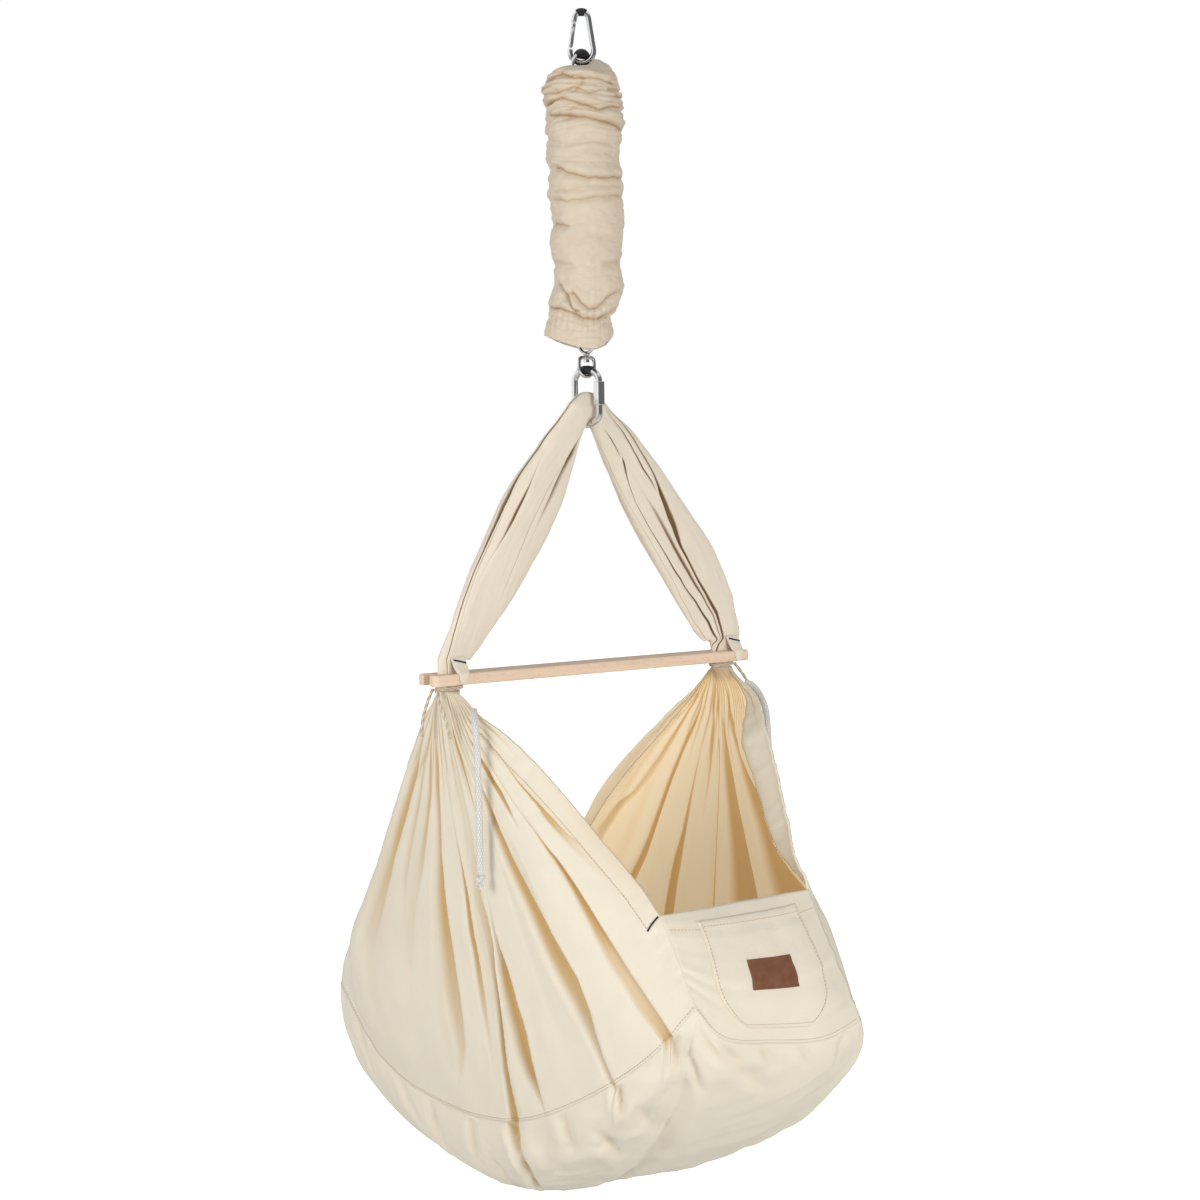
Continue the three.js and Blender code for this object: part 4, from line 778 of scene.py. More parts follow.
half_width, tip = bar_width / 2, bar_corner * 0.3
one_end = np.concatenate([
    rounded((bar_half - bar_corner, -half_width + bar_corner), bar_corner, -90, 0),
    rounded((bar_half - tip, -slot_half - tip), tip, 0, 90, 6),
    rounded((root, 0), slot_half, 270, 90, 24),
    rounded((bar_half - tip, slot_half + tip), tip, -90, 0, 6),
    rounded((bar_half - bar_corner, half_width - bar_corner), bar_corner, 0, 90)])
outline = np.concatenate([one_end, -one_end, one_end[:1]])
outline = even_steps(np.c_[outline, np.zeros(len(outline))], outline_steps + 1)[:-1]
along = unit(np.roll(outline, -1, axis=0) - np.roll(outline, 1, axis=0))
inward = np.cross((0, 0, 1.0), along)
# The rounded edge: how far in and how far up each ring lies
bevel = np.radians(np.linspace(90, 0, 7))
edge = [(bar_edge * (1 - np.cos(a)), bar_edge * (1 - np.sin(a))) for a in bevel]
rings = [outline + inward * inset + np.array([0, 0, drop]) for inset, drop in edge]
rings += [outline + inward * inset + np.array([0, 0, bar_thickness - drop])
          for inset, drop in edge[::-1]]
bar_grid = np.array(rings) + np.array([0, 0, -bar_drop - bar_thickness / 2])
bar_faces = loft_faces(len(rings), outline_steps)[0].tolist()
bar_faces += [list(range(outline_steps * k, outline_steps * (k + 1))) for k in (0, len(rings) - 1)]
bar_mesh = bpy.data.meshes.new("spreader_board")
bar_mesh.from_pydata(bar_grid.reshape(-1, 3).tolist(), [], bar_faces)
bar_mesh.polygons.foreach_set("use_smooth", np.ones(len(bar_faces), bool))
bar_mesh.materials.append(beech)
bar = put_in_scene("spreader_board", bar_mesh)
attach(bar, "cradle")
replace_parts(bar, "spreader_bar")

# Spring cover
# A tube of natural cotton, longer than the spring, is slid over it. It is drawn in round the
# upper eye, bunches in level folds, and is drawn in again above a short skirt at its foot.
cover_top, cover_foot = -0.0685, -0.4437
cover_radius, cover_cloth = 0.047, 0.0012
cover_mouth_long, cover_mouth_short, cover_turn = 0.024, 0.013, 9
cover_sag, cover_sag_turn = 0.0048, 2.4
cover_tuft = 0.012
# Seen from the front left: millimetres below the top, then how far the left and the right edge
# stand out from a plain tube
cover_edges = np.array([
    [0, -2, -2], [6, -4, -5], [29, 7, 2], [58, 0, 4], [78, 1.5, 5], [99, 0, 2], [109, 1, 0],
    [120, 3, -1], [135, -4, 0], [145, -2, 4], [166, 0, 2], [187, -4, 4], [207, -7, 5], [233, 0, 2],
    [259, -6, -1], [290, -6, 5], [305, 0, 1], [321, 5, -5], [331, 8, -7], [345, 9, -9],
    [375, 9, -9]])
# Creases: depth and half width in millimetres, how dark their painted shade is, then the angle from
# the front left and the millimetres below the top
cover_creases = [
    (5, 4, 0.8, [(-76, 19), (-36, 14), (-12, 22), (15, 20), (57, 27)]),
    (4, 3.5, 0.7, [(-90, 35), (-43, 40), (-12, 34), (10, 40), (48, 35)]),
    (6, 4, 1, [(-76, 53), (-36, 46), (-7, 53), (27, 61), (69, 55)]),
    (7, 4.5, 1, [(-61, 66), (-30, 69), (-1, 71), (33, 76), (79, 84)]),
    (3, 3, 0.5, [(-20, 29), (10, 27), (40, 30), (75, 44)]),
    (3, 3, 0.5, [(-50, 60), (-20, 58), (5, 63)]),
    (3, 5, 0.25, [(-61, 99), (-24, 107), (4, 99), (57, 109)]),
    (3, 5, 0.25, [(-61, 120), (-30, 125), (-7, 121), (21, 117), (57, 121)]),
    (6, 4.5, 0.9, [(-51, 135), (-18, 146), (10, 152), (40, 150), (79, 147)]),
    (4, 6, 0.35, [(-61, 166), (-24, 167), (10, 162), (69, 160)]),
    (4.5, 4, 0.6, [(-61, 176), (-30, 182), (15, 176), (79, 171)]),
    (5, 4, 0.8, [(-75, 209), (-51, 210), (-36, 213)]),
    (4, 5, 0.4, [(-70, 260), (-45, 262), (-30, 266)]),
    (4, 5, 0.4, [(45, 262), (80, 258)]),
    (3, 6, 0.2, [(-20, 232), (10, 226), (50, 231)]),
    (7, 5, 1, [(-48, 292), (-38, 302), (-27, 314), (-21, 327)]),
    (6, 5, 0.8, [(-20, 304), (-8, 316), (6, 324), (20, 322), (40, 308), (60, 300)]),
    (6, 4, 1, [(-80, 322), (-50, 324), (-30, 329), (-5, 336), (20, 336), (45, 330), (75, 322)]),
]
# How wide the cover is at shares of its length
cover_shares = [[0, 0.47], [0.015, 0.8], [0.04, 1.02], [0.12, 1.05], [0.3, 1.01], [0.6, 1.02],
                [0.8, 1], [0.87, 0.92], [0.9, 0.84], [0.93, 0.94], [1, 1]]


def value_noise(x, y, seed, wrap=64):
    """Smooth noise from -1 to 1: random heights at the whole numbers, joined on each axis by
    3t^2 - 2t^3 of the share between them. It repeats after wrap steps of x."""
    table = np.random.default_rng(seed).uniform(-1, 1, (wrap, 64))
    i, j = np.floor(x).astype(int), np.floor(y).astype(int)
    s, t = x - i, y - j
    s, t = s * s * (3 - 2 * s), t * t * (3 - 2 * t)
    i2, j2 = (i + 1) % wrap, (j + 1) % 64
    i, j = i % wrap, j % 64
    return ((table[i, j] * (1 - s) + table[i2, j] * s) * (1 - t)
            + (table[i, j2] * (1 - s) + table[i2, j2] * s) * t)


def crease(distance, before, after, blunt=0.002):
    """A fold's valley: 1 on its line and exp(-distance / width) beside it, with a width of its
    own on either side and a bottom rounded over the blunt length."""
    width = np.where(distance < 0, before, after)
    return np.exp(-(np.sqrt(distance**2 + blunt**2) - blunt) / width)


def grid_quads(rows, columns, width, closed=False):
    """The row and the column of each of a grid's squares, and its corners as numbers of points
    where each row has the given width."""
    r, c = np.meshgrid(np.arange(rows), np.arange(columns), indexing="ij")
    r, c = r.ravel(), c.ravel()
    c2 = (c + 1) % columns if closed else c + 1
    start, end = r * width, (r + 1) * width
    return r, c, np.stack([start + c, start + c2, end + c2, end + c], -1)


def make_skin(name, outer, inner, lay, material, body, marks=None, closed=False):
    """A closed shell from an outer and an inner grid: the quads of both, and quads that join
    their edges. Lay holds each point's lengths across and along the cloth, with one column
    more than the grid where it closes on itself."""
    rows, columns = outer.shape[:2]
    count, across = rows * columns, columns if closed else columns - 1
    r, c, place = grid_quads(rows - 1, across, columns, closed)
    flat = grid_quads(rows - 1, across, lay.shape[1])[2]
    quads, flats = [place, place[:, ::-1] + count], [flat, flat[:, ::-1]]
    edges = [(r == 0, [1, 0, 0, 1]), (r == rows - 2, [3, 2, 2, 3])]
    if not closed:
        edges += [(c == 0, [0, 3, 3, 0]), (c == columns - 2, [2, 1, 1, 2])]
    for here, order in edges:
        quads.append(place[here][:, order] + np.array([0, 0, count, count]))
        flats.append(flat[here][:, order])
    points = np.concatenate([outer.reshape(-1, 3), inner.reshape(-1, 3)])
    both = {mark: np.concatenate([v[0].ravel(), v[1].ravel()]) if isinstance(v, tuple)
            else np.tile(v.ravel(), 2) for mark, v in (marks or {}).items()}
    return make_piece(name, points, np.concatenate(quads), np.zeros((0, 3), int), material, body,
                      lay.reshape(-1, 2)[np.concatenate(flats)], both)


def grid_normals(grid, closed=False):
    """The direction square to a grid at each point: the cross product of its two slopes."""
    if closed:
        across = np.roll(grid, -1, axis=1) - np.roll(grid, 1, axis=1)
    else:
        across = np.gradient(grid, axis=1)
    return unit(np.cross(across, np.gradient(grid, axis=0)))


def lay_lengths(grid, closed=False):
    """Each point's length along its row and, down the middle column, along the cloth."""
    ringed = np.concatenate([grid, grid[:, :1]], axis=1) if closed else grid
    across = np.linalg.norm(np.diff(ringed, axis=1), axis=-1)
    across = np.concatenate([np.zeros((len(grid), 1)), np.cumsum(across, axis=1)], axis=1)
    across -= across[:, [across.shape[1] // 2]]
    down = np.linalg.norm(np.diff(ringed, axis=0), axis=-1)
    down = np.concatenate([np.zeros((1, ringed.shape[1])), np.cumsum(down, axis=0)], axis=0)
    return np.stack([across, down], -1)


def nearest_turn(angle):
    """The same direction as an angle between minus and plus half a turn."""
    return (angle + np.pi) % (2 * np.pi) - np.pi


def cloth_material(name, plain, fold_shade_tone, thread, painted_glow_tone=None):
    """Cotton cloth: warp and weft are two crossed waves of the lengths along the cloth, uneven
    threads are noise drawn out along each, and the piece's own fold mark paints shade into its
    folds, turning the tone darker and yellower. Where the warm mark is set, the tone is painted
    warmer and the cloth glows a little, a painted glow standing in for light through the cloth."""
    mottle = 0.06
    material, tree, shader = new_material(name)
    lay = add_node(tree, "ShaderNodeUVMap", uv_map="cloth").outputs[0]
    place = object_place(tree)
    waves, slubs = [], []
    for direction, scale in (("X", (1 / thread * 0.9, 45, 1)), ("Y", (45, 1 / thread * 0.9, 1))):
        sockets = {"Vector": lay, "Scale": 2 * np.pi / (20 * thread), "Distortion": 0.5,
                   "Detail": 1}
        waves.append(add_node(tree, "ShaderNodeTexWave", sockets,
                              bands_direction=direction).outputs["Fac"])
        slubs.append(noise(tree, drawn_out(tree, lay, scale), 1, 2))
    weave, slub = calculate(tree, "ADD", *waves), calculate(tree, "ADD", *slubs)
    darker, duller = (tuple(x * share for x in plain[:3]) + (1,)
                      for share in (1 - mottle * 1.6, 0.8))
    tone = blend_colours(tree, noise(tree, place, 16, 4, 0.6), darker, plain)
    tone = blend_colours(tree, ramp(tree, slub, 0.75, 1.3, 0, mottle * 2.4), tone, duller)
    # Painted glow: the tone turns warmer where the warm mark is set, standing in for light through
    # the cloth
    if painted_glow_tone:
        painted_glow = add_node(tree, "ShaderNodeAttribute", attribute_name="painted_glow").outputs["Fac"]
        tone = blend_colours(tree, painted_glow, tone, painted_glow_tone)
    # Painted shade: the fold mark blends the tone towards the darker, yellower valley tone
    fold = add_node(tree, "ShaderNodeAttribute", attribute_name="fold").outputs["Fac"]
    depth = ramp(tree, fold, 0, 1, 0, 1, interpolation_type="SMOOTHSTEP")
    tone = blend_colours(tree, depth, tone, fold_shade_tone)
    fine = relief(tree, weave, 0.22, thread * 0.25)
    thick = relief(tree, slub, 0.25, thread * 0.4, Normal=fine)
    crumple = noise(tree, place, 75, 3, distortion=0.4)
    fill_sockets(tree, shader, {
        "Base Color": tone, "Normal": relief(tree, crumple, 0.25, 0.002, Normal=thick),
        "Roughness": 0.93, "Sheen Weight": 0.18, "Sheen Roughness": 0.5})
    # Painted glow: the cloth gives off light where the warm mark is set, though it is no lamp
    if painted_glow_tone:
        fill_sockets(tree, shader, {
            "Emission Color": tone, "Emission Strength": calculate(tree, "MULTIPLY", painted_glow, 0.26)})
    return material


cover_cotton = cloth_material("natural_cover_cotton", (0.71, 0.6, 0.465, 1),
                              (0.4, 0.25, 0.12, 1), 0.0008)
# Columns and rows stay under 200,000 triangles for the tube
cover_sides, cover_rows = 196, 248
theta = np.linspace(0, 2 * np.pi, cover_sides, endpoint=False)
lap = theta / (2 * np.pi)
down = np.concatenate([np.linspace(0, 0.02, 12, endpoint=False),
                       np.linspace(0.02, 1, cover_rows - 12)])
shares = np.array(cover_shares)
girth = np.interp(down, shares[:, 0], shares[:, 1])
girth = np.convolve(np.pad(girth, 4, mode="edge"), np.ones(9) / 9, mode="valid")
girth[:8] = np.interp(down[:8], shares[:, 0], shares[:, 1])
down = down[:, None]
c, s = np.cos(theta), np.sin(theta)
turned_angle = theta - np.radians(cover_turn)
mouth_reach = 1 / np.sqrt((np.cos(turned_angle) / cover_mouth_long) ** 2
                          + (np.sin(turned_angle) / cover_mouth_short) ** 2)
reach = cover_radius * girth[:, None] * np.ones(cover_sides)
opening = (1 - (1 - np.clip(down / 0.05, 0, 1)) ** 2.2) ** 0.5
reach = np.where(down < 0.05, mouth_reach + (cover_radius * 1.03 - mouth_reach) * opening, reach)
height = cover_top + (cover_foot - cover_top) * down * np.ones(cover_sides)
height -= down ** 3 * cover_sag * np.sin(theta + cover_sag_turn)
# A tuft stands up beside the eye on the right, and the top gathers bulge on the left
to_left = nearest_turn(theta - np.arctan2(-to_right[1], -to_right[0]))
to_far = nearest_turn(theta - np.arctan2(to_right[1], to_right[0]))
height += cover_tuft * np.exp(-(to_far / 0.7) ** 2) * np.exp(-down / 0.02)
below = down * (cover_top - cover_foot) * 1000
for column, facing_edge in ((1, to_left), (2, to_far)):
    stands = np.interp(below, cover_edges[:, 0], cover_edges[:, column]) / 1000
    reach += stands * np.clip(np.cos(facing_edge), 0, 1) ** 1.5 * ease(0.01, 0.04, down)
height += (0.014 * np.clip(np.cos(to_left), 0, 1) ** 2
           + 0.024 * np.clip(np.cos(to_far), 0, 1) ** 2) * ease(0.86, 1, down)
level = (height - cover_top) / -0.0112
lines = level + value_noise(lap * 9, level * 0.33, 3, wrap=9) * 1.1
bunch = np.interp(down, [0, 0.03, 0.1, 0.2, 0.3, 0.38, 0.52, 0.6, 0.84, 0.88, 1],
                  [0, 0.9, 1.0, 0.6, 0.4, 0.3, 0.3, 0.2, 0.25, 0.6, 0.3])
broken = 0.55 + 0.45 * value_noise(lap * 7 + 3, level * 0.6, 8, wrap=7)
level_folds = (1 - np.abs(np.sin(np.pi * lines)))**2.2 * np.clip(broken, 0, 1)
reach += -0.0042 * bunch * level_folds + 0.0012 * bunch * (1 - level_folds)
ridged = 1 - np.abs(value_noise(lap * 8 + level * 0.1, level * 0.9, 37, wrap=8))
ridged = ridged**5 * ease(0.34, 0.1, down)
reach -= 0.0022 * ridged
from_front = np.degrees(nearest_turn(theta - np.arctan2(to_viewer[1], to_viewer[0])))
crease_shade = 0 * reach
for depth, half, tan, line in cover_creases:
    line = np.array(line)
    # The same crease is repeated at the back, a little lower
    for seen, strength, lower in ((from_front, 1, 0), ((from_front + 360) % 360 - 180, 0.8, 7)):
        at = np.interp(seen, line[:, 0], line[:, 1]) + lower
        shown = strength * ease(line[0, 0] - 22, line[0, 0], seen)
        shown = shown * ease(line[-1, 0] + 22, line[-1, 0], seen)
        past = below - at + 1.2 * value_noise(lap * 30, below / 30, 27, wrap=30)
        width = np.where(past < 0, half * 0.55, half)
        reach += shown / 1000 * (
            -depth * np.exp(-np.abs(past / width) ** 1.4)
            + depth * 0.5 * np.exp(-((past + half * 2) / half / 1.3) ** 2)
            + depth * 0.25 * np.exp(-((past - half * 2.4) / half / 1.5) ** 2))
        narrow = np.exp(-np.abs(past / (half * 0.35)) ** 1.3)
        crease_shade = np.maximum(crease_shade, shown * tan * narrow)
upright = value_noise(lap * 18, level * 0.12, 12, wrap=18)
reach += 0.0012 * upright + 0.0009 * value_noise(lap * 40, level * 1.7, 17, wrap=40)
drawn = 0.4 * crease((down - 0.883) * 0.375, 0.004, 0.003, 0.0015)
pleats = np.abs(np.sin(theta * 17 + 1.5 * value_noise(lap * 12, down * 9, 21, wrap=12)))
reach -= 0.0025 * drawn
reach -= 0.0022 * (1 - pleats) * crease((down - 0.885) * 0.375, 0.016, 0.022, 0.004)
cover_grid = np.stack([reach * c, reach * s, height], -1)
# Painted shade: darker in the bunched level folds, along the creases and in the ridged hollows
cover_fold = np.clip(np.maximum(level_folds * bunch * 0.5, crease_shade) + 0.4 * ridged, 0, 1)
cover_out = grid_normals(cover_grid, closed=True)
cover_out *= np.sign((cover_out * np.stack([c, s, 0 * c], -1)).sum())
cover = make_skin("spring_cover_tube", cover_grid, cover_grid - cover_out * cover_cloth,
                  lay_lengths(cover_grid, closed=True), cover_cotton, None,
                  {"fold": cover_fold}, closed=True)
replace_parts(cover, "spring_cover")
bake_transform(cover)

# Straps
# One wide band of natural cotton for each side is folded lengthwise into loose pleats, hung in
# the quick link's foot, and drawn narrow through the bar's fork slot down to the gather.
strap_top_height, strap_mid_height, strap_top_half = 0.04, 0.071, 0.009
strap_mid_half = {"left": 0.02, "right": 0.014}
strap_neck_length, neck_drop = 0.033, 0.008
# How far the band's edges reach at places along the strap, as shares of half its height
strap_steps = [0, 0.055, 0.11, 0.16, 0.22, 0.3, 0.39, 0.48, 0.57, 0.66, 0.74, 0.81, 0.87, 0.905]
inner_reach = [0.95, 0.95, 0.96, 0.99, 0.84, 0.76, 0.93, 1, 1, 1, 1, 0.94, 0.76, 0.52]
outer_reach = {
    "left": [0.97, 0.97, 0.98, 1.01, 0.84, 0.76, 0.93, 1, 1, 0.95, 0.77, 0.55, 0.46, 0.46],
    "right": [0.97, 0.98, 1.03, 1.14, 1.09, 1.03, 1.2, 1.3, 1.45, 1.6, 1.6, 1.45, 1.05, 0.75],
}
# Pleats, from the outer edge to the inner one: depth and the blur of each side in millimetres,
# then the place along the strap in thousandths, the two sides in tenths of a millimetre round
# from the outer edge, and how dark its painted shade is in hundredths
strap_units = (1000, 10, 10, 100)
strap_pleats = {
    "left": [
        (5, 1.5, 1.5, [(0, -10, 10, 60), (150, -10, 15, 90), (190, -10, 15, 100),
            (230, -15, 15, 110), (310, -15, 18, 110), (350, -10, 22, 100), (380, -10, 30, 90),
            (420, -10, 50, 80), (450, 0, 76, 80), (480, 0, 78, 80), (510, 10, 82, 80),
            (540, 20, 72, 80), (600, 34, 68, 90), (650, 50, 80, 90), (690, 50, 78, 100),
            (780, 54, 82, 100), (820, 65, 91, 100), (860, 105, 130, 100), (900, 125, 148, 100),
            (1000, 130, 150, 50)]),
        (2, 1, 1, [(0, 30, 40, 0), (460, 90, 100, 0), (520, 100, 120, 40), (560, 95, 115, 60),
            (610, 93, 113, 60), (710, 102, 119, 60), (790, 110, 125, 60), (830, 133, 146, 60),
            (880, 170, 182, 60), (1000, 170, 180, 0)]),
        (3.5, 4, 0.8, [(0, 60, 70, 0), (120, 50, 65, 40), (180, 36, 50, 80), (200, 45, 62, 90),
            (220, 55, 72, 100), (240, 77, 93, 50), (300, 102, 115, 70), (350, 160, 182, 90),
            (400, 215, 248, 100), (450, 225, 280, 110), (500, 225, 280, 110), (525, 220, 268, 100),
            (560, 216, 250, 90), (620, 183, 204, 80), (700, 155, 171, 70), (760, 143, 160, 70),
            (820, 154, 170, 70), (875, 210, 226, 80), (930, 210, 226, 50), (1000, 210, 220, 0)]),
        (1.2, 1, 1, [(0, 380, 390, 0), (200, 380, 390, 0), (300, 410, 420, 0), (320, 440, 460, 25),
            (380, 475, 500, 40), (430, 505, 528, 40), (500, 520, 545, 45), (600, 550, 572, 40),
            (660, 580, 604, 30), (710, 580, 600, 0), (1000, 280, 290, 0)]),
        (4, 0.8, 5, [(0, 410, 425, 30), (100, 420, 445, 60), (200, 438, 485, 80),
            (240, 452, 530, 90), (260, 462, 570, 100), (300, 465, 560, 85), (330, 499, 580, 75),
            (370, 537, 620, 75), (400, 574, 640, 80), (430, 590, 655, 70), (480, 623, 660, 40),
            (540, 625, 650, 0), (700, 640, 660, 0), (1000, 330, 340, 0)]),
    ],
    "right": [
        (5, 2.5, 0.8, [(0, 50, 70, 40), (160, 54, 80, 70), (190, 50, 75, 90), (230, 65, 95, 110),
            (244, 90, 125, 110), (270, 120, 155, 100), (310, 150, 190, 90), (360, 198, 235, 90),
            (390, 240, 280, 90), (420, 275, 330, 100), (430, 295, 370, 120), (476, 335, 430, 130),
            (500, 369, 475, 130), (530, 402, 503, 130), (560, 465, 550, 120), (590, 522, 576, 100),
            (660, 540, 584, 100), (700, 518, 567, 100), (740, 479, 536, 100), (780, 435, 500, 110),
            (820, 398, 460, 120), (850, 375, 424, 130), (890, 354, 395, 130),
            (1000, 240, 270, 60)]),
        (4, 1, 1, [(0, 100, 110, 0), (150, 130, 145, 50), (230, 188, 210, 80), (270, 250, 275, 100),
            (310, 284, 310, 90), (350, 330, 360, 90), (390, 348, 374, 90), (410, 365, 388, 60),
            (440, 410, 420, 0), (500, 500, 510, 0), (570, 575, 582, 0), (640, 590, 596, 0),
            (800, 490, 500, 0), (1000, 280, 290, 0)]),
        (4, 3, 1.5, [(0, 160, 170, 0), (300, 500, 510, 0), (420, 550, 590, 25), (460, 535, 605, 50),
            (500, 558, 625, 65), (530, 580, 645, 75), (570, 606, 668, 85), (610, 618, 682, 90),
            (660, 614, 676, 90), (710, 580, 634, 90), (750, 550, 589, 100), (790, 515, 554, 100),
            (830, 475, 510, 100), (870, 430, 460, 100), (1000, 300, 320, 0)]),
        (4.5, 1, 1, [(0, 190, 200, 0), (150, 200, 220, 50), (170, 215, 235, 70),
            (200, 250, 280, 90), (220, 312, 350, 100), (250, 375, 420, 100), (280, 449, 490, 110),
            (305, 517, 555, 120), (330, 593, 617, 100), (360, 668, 686, 90), (410, 748, 766, 80),
            (510, 793, 812, 90), (580, 814, 836, 100), (630, 820, 847, 100), (690, 785, 810, 90),
            (740, 710, 740, 100), (800, 634, 670, 110), (835, 572, 613, 110), (890, 461, 485, 100),
            (1000, 330, 350, 40)]),
        (2.5, 1, 1, [(0, 250, 260, 0), (100, 280, 290, 0), (180, 356, 378, 60), (200, 396, 420, 70),
            (230, 440, 465, 90), (254, 480, 506, 90), (280, 520, 540, 60), (300, 565, 575, 0),
            (330, 640, 650, 0), (400, 780, 790, 0), (600, 860, 870, 0), (700, 840, 850, 0),
            (800, 710, 720, 0), (900, 500, 510, 0), (1000, 370, 380, 0)]),
        (1, 0.8, 0.8, [(0, 380, 390, 0), (100, 500, 512, 30), (210, 638, 652, 60),
            (320, 772, 786, 60), (400, 844, 858, 50), (480, 870, 883, 60), (550, 904, 917, 60),
            (620, 930, 943, 60), (720, 906, 920, 60), (795, 841, 856, 70), (830, 757, 774, 70),
            (900, 540, 554, 50), (1000, 400, 410, 0)]),
    ],
}
bar_top, bar_foot = -bar_drop + bar_thickness / 2, -bar_drop - bar_thickness / 2
neck_foot = bar_foot - neck_drop
saddle_radius = link_wire / 2 + touch_gap + strap_top_height / 2
slot_top = bar_top + bar_thickness * 1.2
strap_slope = abs(np.arctan2(slot_top - link_foot, neck_x))
link_across = np.array([np.cos(np.radians(link_turn)), np.sin(np.radians(link_turn)), 0])
link_normal = np.array([-link_across[1], link_across[0], 0])
strap_bend, strap_neck = 0.16, 0.88


def strap_centre(side, t):
    """The strap's middle line: an arc over the link's foot, a straight fall to the slot, and a
    drop through it."""
    turn = np.clip(t / strap_bend, 0, 1) * strap_slope
    over = side * saddle_radius * np.sin(turn)[:, None] * link_normal
    over[:, 2] = link_foot + saddle_radius * np.cos(turn)
    to = np.array([side * neck_x, 0, slot_top])
    share = np.clip((t - strap_bend) / (strap_neck - strap_bend), 0, 1)[:, None]
    line = over * (1 - share) + to * share
    line[:, 2] += (neck_foot - slot_top) * np.clip((t - strap_neck) / (1 - strap_neck), 0, 1)
    return line


def between(start, full, last, end, x):
    """0 before the start, 1 between full and last, and 0 again past the end."""
    return ease(start, full, x) * (1 - ease(last, end, x))


def strap_frame(side, t):
    """The middle line, the directions across the band and out of its face, and its half sizes."""
    hand = "left" if side < 0 else "right"
    centre = strap_centre(side, t)
    along = unit(strap_centre(side, np.minimum(t + 0.02, 1))
                 - strap_centre(side, np.maximum(t - 0.02, 0)))
    down_share = ease(0.84, 0.9, t)[:, None]
    along = unit(along * (1 - down_share) + np.array([0, 0, -1.0]) * down_share)
    start_share = ease(0.03, 0, t)[:, None]
    along = unit(along * (1 - start_share) + side * link_normal * start_share)
    turn_share = ease(0.1, 0.4, t)[:, None]
    out = unit(link_across * (1 - turn_share) + np.array([0, -1.0, 0]) * turn_share)
    high = unit(np.cross(out, along)) * side
    height = strap_top_height + (strap_mid_height - strap_top_height) * ease(0.16, 0.3, t)
    halves = []
    for shares in (outer_reach[hand], inner_reach):
        half = np.interp(t, strap_steps, shares) * height / 2
        halves.append(half + (strap_neck_length / 2 - half) * ease(0.885, 0.94, t))
    belly = strap_mid_half[hand] - strap_top_half
    thick = strap_top_half + belly * between(0.16, 0.45, 0.5, 0.9, t)
    thick = thick + (slot_half - touch_gap * 2 - thick) * ease(0.55, 0.9, t)
    return centre, high, out, halves, thick


def along_fold(line, units, v):
    """A fold's values at the places v along it: straight between its rows, then averaged over a
    twentieth of the length."""
    line, fine = np.array(line) / units, np.linspace(-0.05, 1.05, 441)
    window = np.hanning(21) / np.hanning(21).sum()
    return [np.interp(v, fine, np.convolve(np.interp(fine, line[:, 0], line[:, k]), window,
                                           mode="same")) for k in (1, 2, 3)]


def follow_folds(start, end, bands, side_width, total, apart):
    """The columns' places on each row, so that they run along the folds: two across each side
    of a fold, five in its band, and the others shared out by width."""
    edges, counts = [start], []
    for k, (near, far) in enumerate(bands):
        near = np.maximum(near, edges[-1] + apart)
        far = np.maximum(far, near + apart)
        bands[k] = near, far
        step = np.minimum(side_width, (far - near) * 0.3)
        edges += [near, near + step, far - step, far]
        counts += [0, 2, 5, 2]
    edges.append(end)
    counts.append(0)
    gaps = np.array([(edges[k + 1] - edges[k]).mean() if n == 0 else 0
                     for k, n in enumerate(counts)])
    left_over = total - sum(counts)
    shared = np.floor(gaps / gaps.sum() * left_over).astype(int)
    shared[np.argmax(gaps)] += left_over - shared.sum()
    places = np.concatenate([[0], np.cumsum(shared + counts)])
    return np.array([np.interp(np.arange(total + 1), places, row) for row in np.array(edges).T])


def fold_shape(place, near, far, near_blur, far_blur):
    """How deep a fold is and how dark its painted shade is at a place, both from 0 to 1, and the
    ridge on its sharper side, all three from distances in millimetres."""
    from_near, from_far = place - near[:, None], far[:, None] - place
    dark = ease(-0.1, 1, from_near / near_blur) * ease(-0.1, 1, from_far / far_blur)
    deep = ease(0, 1, from_near / (near_blur + 2)) * ease(-0.3, 1, from_far / (far_blur + 2))
    lip = from_near if np.mean(near_blur) < np.mean(far_blur) else from_far
    return deep, dark, np.exp(-np.abs(lip + 4) / 5) * (lip < 0)


def rows_at(places, known, grid):
    """On each row of a grid, its points at places between those that are known."""
    return np.stack([points_at(*row) for row in zip(places, known, grid)])


